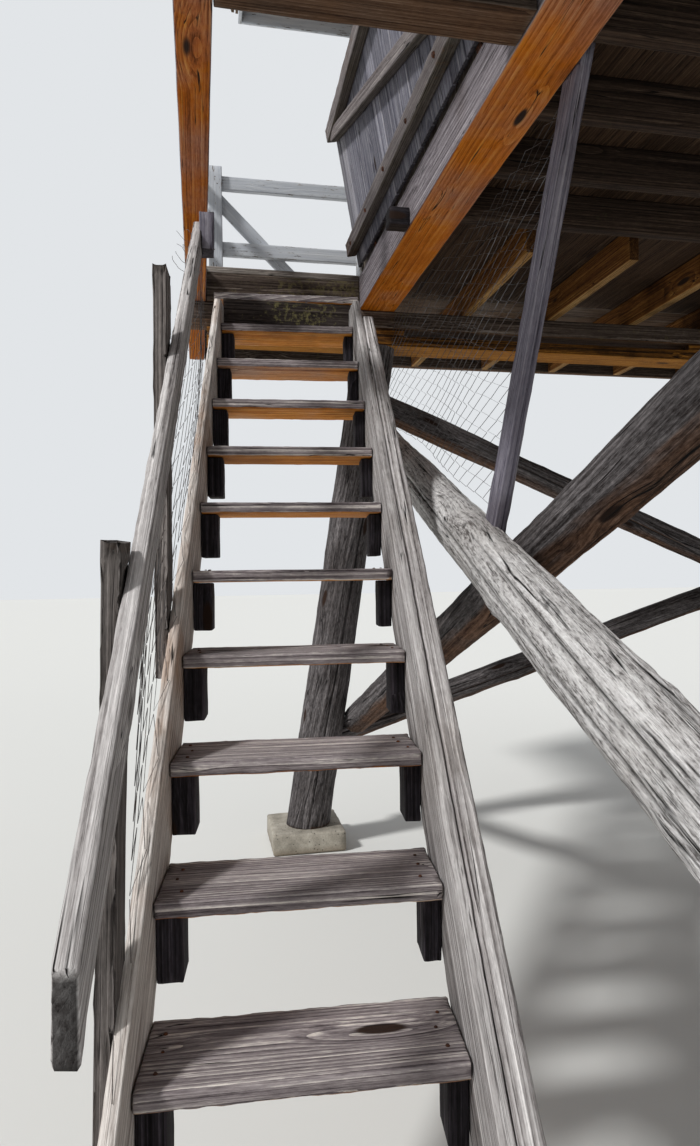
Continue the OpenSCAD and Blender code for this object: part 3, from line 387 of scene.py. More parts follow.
def rustedIron():
    # Forged strap iron under a skin of brown rust, darker in the pits
    material, tree = newMaterial("rustedIron")
    place = addNode(tree, "ShaderNodeTexCoord").outputs["Object"]
    scale = addNode(tree, "ShaderNodeTexNoise", {"Vector": place, "Scale": 60.0, "Detail": 7.0, "Roughness": 0.7})
    rust = addNode(tree, "ShaderNodeValToRGB", {"Fac": scale}, stops=[(0.3, "#241813"), (0.5, "#4c2c1b"),
        (0.66, "#7d4523"), (0.8, "#9a5c30")])
    bump = addNode(tree, "ShaderNodeBump", {"Strength": 0.5, "Distance": 0.001, "Height": scale})
    shader = addNode(tree, "ShaderNodeBsdfPrincipled", {"Base Color": rust, "Metallic": 0.25, "Roughness": 0.78,
        "Normal": bump})
    finishMaterial(tree, shader)
    return material


def galvanisedWire():
    # Hot-dipped wire: dull zinc grey, with rust where the zinc has gone
    material, tree = newMaterial("galvanisedWire")
    place = addNode(tree, "ShaderNodeTexCoord").outputs["Object"]
    spots = addNode(tree, "ShaderNodeTexNoise", {"Vector": place, "Scale": 14.0, "Detail": 4.0})
    zinc = addNode(tree, "ShaderNodeValToRGB", {"Fac": spots}, stops=[(0.4, "#3d302a"), (0.52, "#494646"),
        (0.75, "#6c6b6d")])
    shader = addNode(tree, "ShaderNodeBsdfPrincipled", {"Base Color": zinc, "Metallic": 0.4, "Roughness": 0.55})
    finishMaterial(tree, shader)
    return material


def windowGlass():
    # Old drawn window glass: clear, faintly green, with dust that dulls it in patches
    material, tree = newMaterial("windowGlass")
    place = addNode(tree, "ShaderNodeTexCoord").outputs["Object"]
    dust = addNode(tree, "ShaderNodeTexNoise", {"Vector": place, "Scale": 5.0, "Detail": 5.0})
    haze = addNode(tree, "ShaderNodeMapRange", {"Value": dust, "From Min": 0.45, "From Max": 0.75, "To Max": 0.09})
    wave = addNode(tree, "ShaderNodeTexNoise", {"Vector": place, "Scale": 3.0, "Detail": 1.0})
    bump = addNode(tree, "ShaderNodeBump", {"Strength": 0.06, "Distance": 0.01, "Height": wave})
    shader = addNode(tree, "ShaderNodeBsdfPrincipled", {"Base Color": linearColour("#eef3f1"), "Roughness": haze,
        "IOR": 1.5, "Transmission Weight": 0.92, "Normal": bump})
    finishMaterial(tree, shader)
    return material


concrete = castConcrete()
iron = rustedIron()
wire = galvanisedWire()
glass = windowGlass()
print("materials made")


def newObject(name, mesh):
    obj = bpy.data.objects.new(name, mesh)
    bpy.context.scene.collection.objects.link(obj)
    return obj


def islandsOf(nodeName):
    # The CAD node's triangles, merged into closed solids with whole flat faces
    whole = bmesh.new()
    whole.from_mesh(cadNodes[nodeName].data)
    bmesh.ops.remove_doubles(whole, verts=whole.verts[:], dist=2e-5)
    bmesh.ops.dissolve_limit(whole, angle_limit=math.radians(0.6), verts=whole.verts[:], edges=whole.edges[:])
    seen = set()
    found = []
    for start in whole.verts:
        if start in seen:
            continue
        seen.add(start)
        stack, group = [start], []
        while stack:
            vert = stack.pop()
            group.append(vert)
            for edge in vert.link_edges:
                other = edge.other_vert(vert)
                if other not in seen:
                    seen.add(other)
                    stack.append(other)
        members = set(group)
        part = bmesh.new()
        copies = {vert: part.verts.new(vert.co) for vert in group}
        for face in whole.faces:
            if face.verts[0] in members:
                part.faces.new([copies[vert] for vert in face.verts])
        part.normal_update()
        found.append(part)
    whole.free()
    return found


def timberAxes(part):
    # Along the longest edge, with the widest face's normal as the thin direction
    longest = max(part.edges, key=lambda e: e.calc_length())
    along = (longest.verts[1].co - longest.verts[0].co).normalized()
    if abs(along.y) > max(abs(along.x), abs(along.z)):
        along = along if along.y > 0 else -along
    side = max((f for f in part.faces if abs(f.normal.dot(along)) < 0.3), key=lambda f: f.calc_area())
    thin = (side.normal - along * side.normal.dot(along)).normalized()
    across = thin.cross(along).normalized()
    points = np.array([v.co for v in part.verts])
    axes = np.array([along, across, thin])
    spans = points @ axes.T
    low, high = spans.min(0), spans.max(0)
    centre = Vector(((low + high) / 2) @ axes)
    return {"along": along, "across": across, "thin": thin, "centre": centre, "half": (high - low) / 2}


def boxPart(centre, along, across, sizes):
    # A plain sawn block as a starting solid: sizes are full lengths along, across and through
    along, across = Vector(along).normalized(), Vector(across).normalized()
    thin = along.cross(across)
    part = bmesh.new()
    bmesh.ops.create_cube(part, size=1.0)
    turn = Matrix((along * sizes[0], across * sizes[1], thin * sizes[2])).transposed()
    for vert in part.verts:
        vert.co = Vector(centre) + turn @ vert.co
    bmesh.ops.recalc_face_normals(part, faces=part.faces[:])
    return part


dressing = {
    "step": 0.06,        # slices along a timber
    "across": 0.035,     # slices over a wide face
    "edgeBand": 0.011,   # width of the worn band beside an arris
    "arris": 0.003,      # rounding of an arris
    "chip": 0.003,       # how deep an arris is torn
    "wave": 0.0012,      # unevenness of the sawn faces
    "endGrainAndShade": 0.6,      # darkness of the end grain; set higher, the extra dark is painted shade
    "sharp": 0.3,        # an edge that turns by more radians than this is an arris
    "cells": (6, 22, 22),     # noise cells per metre along, across and through the timber
}


def cutAt(part, place, normal, clear=False):
    bmesh.ops.bisect_plane(part, geom=part.verts[:] + part.edges[:] + part.faces[:], dist=1e-06, plane_co=place,
        plane_no=normal, clear_outer=clear)


def closeHoles(part):
    bmesh.ops.holes_fill(part, edges=[e for e in part.edges if e.is_boundary], sides=0)


def sliceOff(part, place, normal):
    # Takes away what lies beyond a plane, and closes the cut
    cutAt(part, place, normal, True)
    closeHoles(part)


def dress(part, settings, rng):
    # Rounds, slices and wears one sawn timber, always inwards, and gives its grain, tone and wear
    s = dict(dressing, **settings)
    axes = timberAxes(part)
    ends = np.array(axes["along"])
    arrises = [e for e in part.edges if e.calc_face_angle(0) > s["sharp"]]
    sharp = [(e.verts[0].co.copy(), e.verts[1].co.copy()) for e in arrises]
    bmesh.ops.bevel(part, geom=arrises, offset=s["arris"], offset_type="OFFSET", segments=1, profile=0.5,
        affect="EDGES", clamp_overlap=True)
    half = axes["half"]
    count = max(2, int(2 * half[0] / s["step"]))
    for i in range(1, count):
        jitter = rng.uniform(-0.2, 0.2)
        cutAt(part, axes["centre"] + axes["along"] * half[0] * (2 * (i + jitter) / count - 1), axes["along"])
    for axis, size in ((axes["across"], half[1]), (axes["thin"], half[2])):
        places = [-size + s["edgeBand"], size - s["edgeBand"]] if size > 1.6 * s["edgeBand"] else []
        inner = int((2 * size - 2 * s["edgeBand"]) / s["across"])
        places += [-size + 2 * size * (k + 1) / (inner + 1) for k in range(inner)]
        for offset in places:
            cutAt(part, axes["centre"] + axis * offset, axis)
    part.normal_update()
    points = np.array([v.co for v in part.verts])
    nearest = np.full(len(points), 1e9)
    for a, b in sharp:
        a, b = np.array(a), np.array(b)
        run = b - a
        t = np.clip(((points - a) @ run) / max(run @ run, 1e-12), 0, 1)
        nearest = np.minimum(nearest, np.linalg.norm(points - a - t[:, None] * run, axis=1))
    wear = np.clip(1 - nearest / s["edgeBand"], 0, 1)
    # End grain drinks water, and so goes dark; set higher, as on the handrail, the extra dark is painted shade
    facing = np.abs(np.array([v.normal for v in part.verts]) @ ends)
    crack = np.clip((facing - 0.5) / 0.2, 0, 1) * s["endGrainAndShade"]
    seed = Vector((rng.uniform(0, 50), rng.uniform(0, 50), rng.uniform(0, 50)))
    for i, vert in enumerate(part.verts):
        local = vert.co - axes["centre"]
        stretched = Vector([local.dot(axes[way]) * n for way, n in zip(("along", "across", "thin"), s["cells"])])
        depth = s["wave"] * (0.5 + 0.5 * noise.noise(stretched + seed))
        if wear[i] > 0.3:
            torn = noise.noise(stretched * 2.7 + seed) * 0.6 + noise.noise(stretched * 7.0 + seed) * 0.5
            depth += s["chip"] * wear[i] * max(0.0, torn + 0.25)
        vert.co = vert.co - vert.normal * depth
    mesh = bpy.data.meshes.new("part")
    part.to_mesh(mesh)
    place = np.array([v.co for v in part.verts]) - np.array(axes["centre"])
    basis = np.array([axes["along"], axes["across"], axes["thin"]])
    # The heart of the tree lies somewhere outside the timber, so that each shows other rings
    heart = np.array([rng.uniform(-9, 9), rng.uniform(-0.09, 0.09), rng.choice([-1, 1]) * rng.uniform(0.03, 0.12)])
    part.free()
    return {"mesh": mesh, "grain": place @ basis.T + heart, "tone": rng.random(), "wear": wear, "crack": crack}


def sawn(centre, along, across, sizes, settings, rng):
    return dress(boxPart(centre, along, across, sizes), settings, rng)


def joinParts(name, parts, material):
    # One mesh from many dressed pieces
    verts, faces, grain, tone, wear, crack = [], [], [], [], [], []
    base = 0
    for piece in parts:
        mesh = piece["mesh"]
        verts.extend(v.co.copy() for v in mesh.vertices)
        faces.extend([base + i for i in p.vertices] for p in mesh.polygons)
        count = len(mesh.vertices)
        grain.append(piece["grain"])
        tone.append(np.broadcast_to(piece["tone"], count))
        wear.append(piece["wear"])
        crack.append(piece.get("crack", np.zeros(count)))
        base += count
        bpy.data.meshes.remove(mesh)
    mesh = bpy.data.meshes.new(name)
    mesh.from_pydata(verts, [], faces)
    writeAttribute(mesh, "grain", "FLOAT_VECTOR", np.concatenate(grain))
    writeAttribute(mesh, "tone", "FLOAT", np.concatenate(tone))
    writeAttribute(mesh, "wear", "FLOAT", np.concatenate(wear))
    writeAttribute(mesh, "crack", "FLOAT", np.concatenate(crack))
    mesh.shade_smooth()
    mesh.materials.append(material)
    return newObject(name, mesh)


def readAttribute(mesh, name, width=1):
    values = np.zeros(len(mesh.vertices) * width, np.float32)
    if name in mesh.attributes:
        mesh.attributes[name].data.foreach_get("vector" if width == 3 else "value", values)
    return values.reshape(-1, 3) if width == 3 else values


def pieceOf(obj):
    # Takes a finished object apart again, to be joined with others
    mesh = obj.data.copy()
    bpy.data.objects.remove(obj)
    return {"mesh": mesh, "grain": readAttribute(mesh, "grain", 3), "tone": readAttribute(mesh, "tone"),
        "wear": readAttribute(mesh, "wear"), "crack": readAttribute(mesh, "crack")}


def writeAttribute(mesh, name, kind, values):
    attribute = mesh.attributes.new(name, kind, "POINT")
    key = "vector" if kind == "FLOAT_VECTOR" else "value"
    attribute.data.foreach_set(key, np.asarray(values, np.float32).ravel())


def settle(obj, body, slotName, *nodes):
    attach(obj, body)
    if nodes:
        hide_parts(*nodes)
    return obj


def moveEnds(part, topCut, footGrown):
    # Shortens the upper end or lengthens the lower end of an upright timber
    axes = timberAxes(part)
    rise = axes["along"] if axes["along"].z > 0 else -axes["along"]
    for vert in part.verts:
        if (vert.co - axes["centre"]).dot(rise) > 0:
            vert.co = vert.co - rise * topCut
        else:
            vert.co = vert.co - rise * footGrown


def dressNode(nodeName, material, slotName, settings=None, body="tower", seed=1):
    rng = random.Random(seed * 1000 + len(nodeName))
    solids = islandsOf(nodeName)
    if settings and ("topCut" in settings or "footGrown" in settings):
        for part in solids:
            moveEnds(part, settings.get("topCut", 0.0), settings.get("footGrown", 0.0))
    parts = [dress(part, settings or {}, rng) for part in solids]
    obj = joinParts(nodeName + "_dressed", parts, material)
    return settle(obj, body, slotName, nodeName)


def lineOf(nodeName, index=0):
    axes = timberAxes(islandsOf(nodeName)[index])
    reach = axes["along"] * axes["half"][0]
    return axes["centre"] - reach, axes["centre"] + reach, axes


# Sawn timbers that keep their CAD shape, dressed with worn arrises and their own grain
sawnTimbers = {
    "sills": ("sillTimber", "beam", {"step": 0.09, "arris": 0.005, "chip": 0.006, "wave": 0.002}),
    "side_rims": ("rimTimber", "beam", {"step": 0.09, "arris": 0.005, "chip": 0.006, "wave": 0.002}),
    "end_rims": ("darkBeam", "beam", {"step": 0.12, "chip": 0.004}),
    "cap_beams": ("darkBeam", "beam", {"step": 0.12, "arris": 0.005, "chip": 0.005, "wave": 0.002}),
    "bolsters": ("orangeCap", "beam", {"step": 0.12, "chip": 0.005, "wave": 0.002}),
    "stair_headers": ("darkBeam", "beam", {"step": 0.06, "chip": 0.005, "wave": 0.002}),
    "outriggers": ("dryAndBounceLitJoist", "joist", {"step": 0.12}),
    "floor_joists": ("dampJoist", "joist", {"step": 0.2}),
    "catwalk_joists": ("dampJoist", "joist", {"step": 0.1}),
    # The left stringer's paler finish is painted sunlight
    "stringer_left": ("bleachedPlank", "plank", {"step": 0.035, "arris": 0.004, "chip": 0.006, "wave": 0.002}),
    "stringer_right": ("silverPlank", "plank", {"step": 0.035, "arris": 0.004, "chip": 0.006, "wave": 0.002}),
    "sister_plank": ("silverPlank", "plank", {"step": 0.035, "arris": 0.006, "chip": 0.008, "wave": 0.002}),
    "cleats": ("darkCleat", "cleat", {"step": 0.03, "arris": 0.003, "chip": 0.003}),
    "treads": ("wornTread", "tread", {"step": 0.014, "across": 0.02, "edgeBand": 0.009, "arris": 0.004,
                                      "chip": 0.008, "wave": 0.002}),
    # The handrail's low end face is darkened further: painted shade
    "handrail": ("silverPlank", "plank", {"step": 0.03, "arris": 0.004, "chip": 0.006, "wave": 0.002,
                                          "endGrainAndShade": 0.93}),
    "handrail_posts": ("greyPost", "cleat", {"step": 0.04, "arris": 0.009, "chip": 0.014, "wave": 0.002}),
    # The hanger takes the dark purple grey post finish as painted shade
    "handrail_hanger": ("netPost", "cleat", {"step": 0.03, "arris": 0.006, "chip": 0.01, "topCut": 0.10}),
    "netting_post": ("netPost", "cleat", {"step": 0.03, "arris": 0.004, "chip": 0.006, "wave": 0.002,
                                          "footGrown": 0.07}),
    "hatch_ledger": ("darkCleat", "cleat", {"step": 0.02, "chip": 0.006, "wave": 0.002}),
    "top_plate": ("wallBoard", "beam", {"step": 0.2}),
}
for order, (nodeName, (finish, slotName, settings)) in enumerate(sawnTimbers.items()):
    dressNode(nodeName, wood[finish], slotName, settings, seed=order + 3)
print("sawn timbers dressed:", len(sawnTimbers))

riser = {"clear": 0.001, "back": 0.022, "inset": 0.045, "thickness": 0.020}


def makeRiser():
    # A lichened board closes the space under the top tread
    rng = random.Random(61)
    steps = sorted((timberAxes(part) for part in islandsOf("treads")), key=lambda axes: axes["centre"].z)
    low, high = steps[-2], steps[-1]
    across = high["across"] if high["across"].y > 0 else -high["across"]
    bottom = low["centre"].z + low["half"][2] + riser["clear"]
    top = high["centre"].z - high["half"][2] - riser["clear"]
    nose = high["centre"] - across * (high["half"][1] - riser["back"])
    middle = Vector((nose.x, nose.y, (bottom + top) / 2))
    width = 2 * (high["half"][0] - riser["inset"])
    part = boxPart(middle, high["along"], boardZ, (width, top - bottom, riser["thickness"]))
    piece = dress(part, {"step": 0.03, "chip": 0.006, "wave": 0.002}, rng)
    settle(joinParts("top_riser", [piece], wood["lichenBoard"]), "tower", "beam")


makeRiser()

footingLook = {"step": 0.04, "across": 0.04, "edgeBand": 0.015, "arris": 0.008, "chip": 0.012, "wave": 0.004}
dressNode("footings", concrete, "concrete", footingLook, seed=91)

# Peeled logs: round, tapered and a little crooked, with long checks that follow a slow twist
logShape = {
    "spare": 0.12,                  # a leg is made too long, and then cut level
    "lip": 0.0035,                  # half the width of a check
    "inset": 0.009,                 # keeps the swells inside the solid
    "swell": 0.006,
    "checkHalf": (0.6, 2.2),
    "checkDepth": (0.012, 0.022),
    "knotsPerMetre": 2.2,
    "knotSize": (0.022, 0.04),
    "knotRise": 0.007,
    "knotDip": 0.006,
}
logs = {
    # The outer braces take the pale log finish, painted sunlight; the legs and other braces the darker one, painted
    # shade
    "legs": {"finish": "peeledLog", "around": 72, "step": 0.032, "checks": 5, "twist": 0.35, "seed": 11},
    "outer_braces": {"finish": "silverLog", "around": 84, "step": 0.018, "checks": 9, "twist": 0.22, "seed": 12},
    "inner_braces": {"finish": "peeledLog", "around": 80, "step": 0.032, "checks": 6, "twist": -0.25, "seed": 13},
    "back_braces": {"finish": "peeledLog", "around": 60, "step": 0.045, "checks": 5, "twist": 0.2, "seed": 14},
    "front_braces": {"finish": "peeledLog", "around": 60, "step": 0.045, "checks": 5, "twist": -0.2, "seed": 15},
}


def logLine(part):
    # The long arrises of the faceted CAD log give its axis and its radius at both ends
    longest = max(e.calc_length() for e in part.edges)
    sides = [e for e in part.edges if e.calc_length() > 0.45 * longest]
    starts = np.array([e.verts[0].co for e in sides])
    ends = np.array([e.verts[1].co for e in sides])
    runs = ends - starts
    runs[runs @ runs[0] < 0] *= -1
    axis = (runs / np.linalg.norm(runs, axis=1)[:, None]).mean(0)
    axis /= np.linalg.norm(axis)
    points = np.array([v.co for v in part.verts])
    for _ in range(3):
        reach = points @ axis
        low, high = reach.min(), reach.max()
        rings = []
        for share in (0.3, 0.7):
            level = low + share * (high - low)
            t = (level - starts @ axis) / (runs @ axis)
            hits = starts + t[:, None] * runs
            u = np.cross(axis, [0.3, 0.5, 0.8])
            u /= np.linalg.norm(u)
            v = np.cross(axis, u)
            flat = np.column_stack([hits @ u, hits @ v])
            fit = np.linalg.lstsq(np.column_stack([2 * flat, np.ones(len(flat))]), (flat ** 2).sum(1), rcond=None)[0]
            radius = math.sqrt(fit[2] + fit[0] ** 2 + fit[1] ** 2)
            rings.append((fit[0] * u + fit[1] * v + level * axis, radius, level))
        axis = rings[1][0] - rings[0][0]
        axis /= np.linalg.norm(axis)
    slope = (rings[1][1] - rings[0][1]) / (rings[1][2] - rings[0][2])
    origin = rings[0][0] - axis * (rings[0][2] - low)
    return {"origin": origin, "axis": axis, "length": high - low, "radius": rings[0][1] - slope * (rings[0][2] - low),
        "slope": slope}


def peeledLog(line, s, rng, level=None):
    axis = line["axis"]
    u = np.cross(axis, [0.3, 0.5, 0.8])
    u /= np.linalg.norm(u)
    v = np.cross(axis, u)
    spare = logShape["spare"] if level else 0.0
    rows = int((line["length"] + 2 * spare) / s["step"]) + 1
    t = np.linspace(-spare, line["length"] + spare, rows)[:, None]
    places = np.sort(np.array([rng.uniform(0, 2 * math.pi) for _ in range(s["checks"])]))
    lip = logShape["lip"] / line["radius"]
    spread = np.linspace(0, 2 * math.pi, s["around"], endpoint=False)
    clear = np.min(np.abs((spread[:, None] - places[None, :] + math.pi) % (2 * math.pi) - math.pi), axis=1) > 2 * lip
    turned = np.sort(np.concatenate([spread[clear], places, places - lip, places + lip]))[None, :]
    seed = Vector((rng.uniform(0, 90), rng.uniform(0, 90), rng.uniform(0, 90)))
    wander = np.array([0.16 * noise.noise(Vector((0.9 * tt, 5.0, 3.0)) + seed) for tt in t[:, 0]])[:, None]
    angle = turned + s["twist"] * t + wander
    around = turned.shape[1]
    radius = np.broadcast_to(line["radius"] + line["slope"] * t - logShape["inset"], (rows, around)).copy()
    swell = np.array([[noise.noise(Vector((2.2 * tt, math.cos(a), math.sin(a))) + seed)
        + 0.5 * noise.noise(Vector((7 * tt, 3 * math.cos(a), 3 * math.sin(a))) + seed)
        + 0.4 * noise.noise(Vector((16 * tt, 9 * math.cos(a), 9 * math.sin(a))) + seed) for a in turned[0]]
        for tt in t[:, 0]])
    radius += logShape["swell"] * swell
    crack = np.zeros_like(radius)
    for where in places:
        middle, halfLength = rng.uniform(0.1, 0.9) * line["length"], rng.uniform(*logShape["checkHalf"])
        depth = rng.uniform(*logShape["checkDepth"])
        away = np.abs((turned - where + math.pi) % (2 * math.pi) - math.pi)
        body = np.clip(1 - ((t - middle) / halfLength) ** 2, 0, 1) ** 0.5
        groove = np.where(away < 0.3 * lip, 1.0, np.where(away < 1.2 * lip, 0.25, 0.0)) * body
        crack = np.maximum(crack, groove)
        radius -= depth * groove
    for _ in range(int(line["length"] * logShape["knotsPerMetre"])):
        tt, where = rng.uniform(0.1, line["length"]), rng.uniform(0, 2 * math.pi)
        size = rng.uniform(*logShape["knotSize"])
        away = ((turned - where + math.pi) % (2 * math.pi) - math.pi) * line["radius"]
        far = np.sqrt((t - tt) ** 2 + away ** 2) / size
        radius += logShape["knotRise"] * np.exp(-far ** 2) - logShape["knotDip"] * np.exp(-(far / 0.35) ** 2)
        crack = np.maximum(crack, 0.7 * np.exp(-(far / 0.3) ** 4))
    x = radius * np.cos(angle)
    y = radius * np.sin(angle)
    points = line["origin"] + t[..., None] * axis + x[..., None] * u + y[..., None] * v
    gx, gy = radius * np.cos(turned), radius * np.sin(turned)
    grain = np.stack([np.broadcast_to(t, gx.shape) + rng.uniform(-5, 5), gx, gy], -1)
    mesh = bpy.data.meshes.new("log")
    verts = [Vector(p) for p in points.reshape(-1, 3)]
    faces = [(r * around + c, r * around + (c + 1) % around, (r + 1) * around + (c + 1) % around, (r + 1) * around + c)
        for r in range(rows - 1) for c in range(around)]
    mesh.from_pydata(verts, [], faces)
    writeAttribute(mesh, "grain", "FLOAT_VECTOR", grain.reshape(-1, 3))
    writeAttribute(mesh, "crack", "FLOAT", crack.ravel())
    part = bmesh.new()
    part.from_mesh(mesh)
    if level:
        for height, up in ((level[0], -1), (level[1], 1)):
            cutAt(part, (0, 0, height), (0, 0, up), True)
    closeHoles(part)
    caps = [f for f in part.faces if len(f.verts) > 8]
    # The sawn ends get a middle, so that rings and radial checks can show there
    grainLayer = part.verts.layers.float_vector["grain"]
    crackLayer = part.verts.layers.float["crack"]
    for cap in caps:
        ring = list(cap.verts)
        middle = bmesh.ops.poke(part, faces=[cap])["verts"][0]
        mean = sum((v[grainLayer] for v in ring), Vector()) / len(ring)
        middle[grainLayer] = mean
        middle[crackLayer] = 0.0
    bmesh.ops.recalc_face_normals(part, faces=part.faces[:])
    part.to_mesh(mesh)
    count = len(part.verts)
    grain = np.array([v[grainLayer] for v in part.verts])
    crack = np.array([v[crackLayer] for v in part.verts])
    part.free()
    for name in ("grain", "crack"):
        mesh.attributes.remove(mesh.attributes[name])
    return {"mesh": mesh, "grain": grain, "crack": crack, "tone": rng.random(), "wear": np.zeros(count)}


def makeLogs(nodeName, s):
    rng = random.Random(s["seed"])
    parts = []
    low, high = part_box(nodeName)
    for part in islandsOf(nodeName):
        line = logLine(part)
        parts.append(peeledLog(line, s, rng, (low.z, high.z) if nodeName == "legs" else None))
        part.free()
    obj = joinParts(nodeName + "_peeled", parts, wood[s["finish"]])
    return settle(obj, "tower", "log", nodeName)


for nodeName, s in logs.items():
    makeLogs(nodeName, s)
print("logs peeled:", len(logs))


def runTree(name, tree, values, mesh=None):
    # Runs a node tree on a mesh and keeps the plain result
    host = newObject(name + "_host", mesh or bpy.data.meshes.new(name + "_seed"))
    modifier = host.modifiers.new("nodes", "NODES")
    modifier.node_group = tree
    for item in tree.interface.items_tree:
        if item.in_out == "INPUT" and item.name in values:
            modifier[item.identifier] = values[item.name]
    host.update_tag()
    bpy.context.view_layer.update()
    graph = bpy.context.evaluated_depsgraph_get()
    made = bpy.data.meshes.new_from_object(host.evaluated_get(graph))
    made.name = name
    bpy.data.objects.remove(host)
    made.shade_smooth()
    return newObject(name, made)


def newTree(name, sockets):
    tree = bpy.data.node_groups.new(name, "GeometryNodeTree")
    for label, kind in sockets:
        tree.interface.new_socket(label, in_out="INPUT", socket_type=kind)
    tree.interface.new_socket("Geometry", in_out="OUTPUT", socket_type="NodeSocketGeometry")
    return tree, addNode(tree, "NodeGroupInput").outputs


def endTree(tree, geometry, material):
    painted = addNode(tree, "GeometryNodeSetMaterial", {"Geometry": geometry, "Material": material})
    addNode(tree, "NodeGroupOutput", {"Geometry": painted})
    return tree


def closeTree(tree, geometry, material):
    # Realizes boards or shingles, and gives each its own stretch of grain and its own tone
    real = addNode(tree, "GeometryNodeRealizeInstances", {"Geometry": geometry})
    shift = addNode(tree, "GeometryNodeInputNamedAttribute", {"Name": "boardShift"}, data_type="FLOAT_VECTOR")
    grain = addNode(tree, "GeometryNodeInputNamedAttribute", {"Name": "grain"}, data_type="FLOAT_VECTOR")
    moved = addNode(tree, "ShaderNodeVectorMath", {0: grain.outputs["Attribute"], 1: shift.outputs["Attribute"]},
        operation="ADD")
    keep = addNode(tree, "GeometryNodeStoreNamedAttribute", {"Geometry": real, "Name": "grain", "Value": moved},
        data_type="FLOAT_VECTOR", domain="POINT")
    pick = addNode(tree, "GeometryNodeInputNamedAttribute", {"Name": "boardTone"}, data_type="FLOAT")
    toned = addNode(tree, "GeometryNodeStoreNamedAttribute", {"Geometry": keep, "Name": "tone",
        "Value": pick.outputs["Attribute"]}, data_type="FLOAT", domain="POINT")
    return endTree(tree, toned, material)


def markInstances(tree, geometry, seed):
    # Each instance gets its own tone, and its own place in the tree that it was cut from
    tone = addNode(tree, "FunctionNodeRandomValue", {"Seed": seed}, data_type="FLOAT")
    toned = addNode(tree, "GeometryNodeStoreNamedAttribute", {"Geometry": geometry, "Name": "boardTone",
        "Value": tone.outputs[1]}, data_type="FLOAT", domain="INSTANCE")
    place = addNode(tree, "FunctionNodeRandomValue", {"Seed": seed, 0: (-8.0, -0.06, -0.04), 1: (8.0, 0.06, 0.04)},
        data_type="FLOAT_VECTOR")
    placed = addNode(tree, "GeometryNodeStoreNamedAttribute", {"Geometry": toned, "Name": "boardShift",
        "Value": place}, data_type="FLOAT_VECTOR", domain="INSTANCE")
    return placed.outputs[0]


def laidBoardsTree():
    tree, given = newTree("laidBoards", [("Board", "NodeSocketObject"), ("Count", "NodeSocketInt"),
        ("First", "NodeSocketVector"), ("Step", "NodeSocketVector"), ("Unevenness", "NodeSocketVector"),
        ("Seed", "NodeSocketInt"), ("Finish", "NodeSocketMaterial")])
    line = addNode(tree, "GeometryNodeMeshLine", {"Count": given["Count"], "Start Location": given["First"],
        "Offset": given["Step"]}, mode="OFFSET")
    slide = addNode(tree, "FunctionNodeRandomValue", {"Seed": given["Seed"], 0: (0.0, 0.0, 0.0),
        1: given["Unevenness"]}, data_type="FLOAT_VECTOR")
    shifted = addNode(tree, "GeometryNodeSetPosition", {"Geometry": line, "Offset": slide})
    board = addNode(tree, "GeometryNodeObjectInfo", {"Object": given["Board"]})
    laid = addNode(tree, "GeometryNodeInstanceOnPoints", {"Points": shifted, "Instance": board.outputs["Geometry"]})
    return closeTree(tree, markInstances(tree, laid.outputs[0], given["Seed"]), given["Finish"])


laidBoards = laidBoardsTree()


def layBoards(name, material, size, along, across, first, last, seed, settings=None, uneven=(0, 0, 0), gap=0.004,
              pitch=0.14):
    # Lays boards of one width side by side from first to last, which are the middles of the two outer edges
    first, last = Vector(first), Vector(last)
    run = (last - first).length
    count = max(1, round(run / pitch))
    width = run / count
    way = (last - first).normalized()
    rng = random.Random(seed)
    part = boxPart((0, 0, 0), along, across, (size[0], width - gap, size[1]))
    template = joinParts(name + "_board", [dress(part, settings or {"step": 0.12, "across": 0.08, "edgeBand": 0.008,
        "arris": 0.0025, "chip": 0.003}, rng)], material)
    obj = runTree(name, laidBoards, {"Board": template, "Count": count, "First": first + way * width / 2,
        "Step": way * width, "Unevenness": uneven, "Seed": seed, "Finish": material})
    bpy.data.objects.remove(template)
    return obj


# Deck and floor boards
decking = {"pitch": 0.142, "gap": 0.006, "tongued": 0.0, "nosing": 0.14}


def deckRegion(name, low, high, along, material, seed, pitch=None, gap=decking["gap"]):
    # Fills a box from low to high with boards that run along X or along Y
    middle = (Vector(low) + Vector(high)) / 2
    size = Vector(high) - Vector(low)
    step = pitch or decking["pitch"]
    if along == "x":
        return layBoards(name, material, (size.x, size.z), boardX, boardY, (middle.x, low[1], middle.z),
            (middle.x, high[1], middle.z), seed, gap=gap, pitch=step)
    return layBoards(name, material, (size.y, size.z), boardY, -boardX, (low[0], middle.y, middle.z),
        (high[0], middle.y, middle.z), seed, gap=gap, pitch=step)


def makeLeftDeck():
    # The deck on both sides of the stair opening, with one board across at each edge of it
    low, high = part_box("deck_left")
    nose = decking["nosing"]
    finish = wood["greyDeckBoard"]
    pieces = []
    ends = sorted((timberAxes(part) for part in islandsOf("deck_left")), key=lambda a: a["centre"].y)
    for k, axes in enumerate(ends):
        halfY = axes["half"][0] if abs(axes["along"].y) > 0.5 else axes["half"][1]
        y0, y1 = axes["centre"].y - halfY, axes["centre"].y + halfY
        inner = (y0, y1 - nose) if k == 0 else (y0 + nose, y1)
        edge = (y1 - nose, y1) if k == 0 else (y0, y0 + nose)
        pieces.append(deckRegion("deckLong", (low.x, inner[0], low.z), (high.x, inner[1], high.z), "y", finish, 40 + k))
        pieces.append(deckRegion("deckNose", (low.x, edge[0], low.z), (high.x, edge[1], high.z), "x", finish, 44 + k,
            pitch=nose))
    settle(joinParts("deck_left_boards", [pieceOf(p) for p in pieces], finish), "tower", "deck", "deck_left")


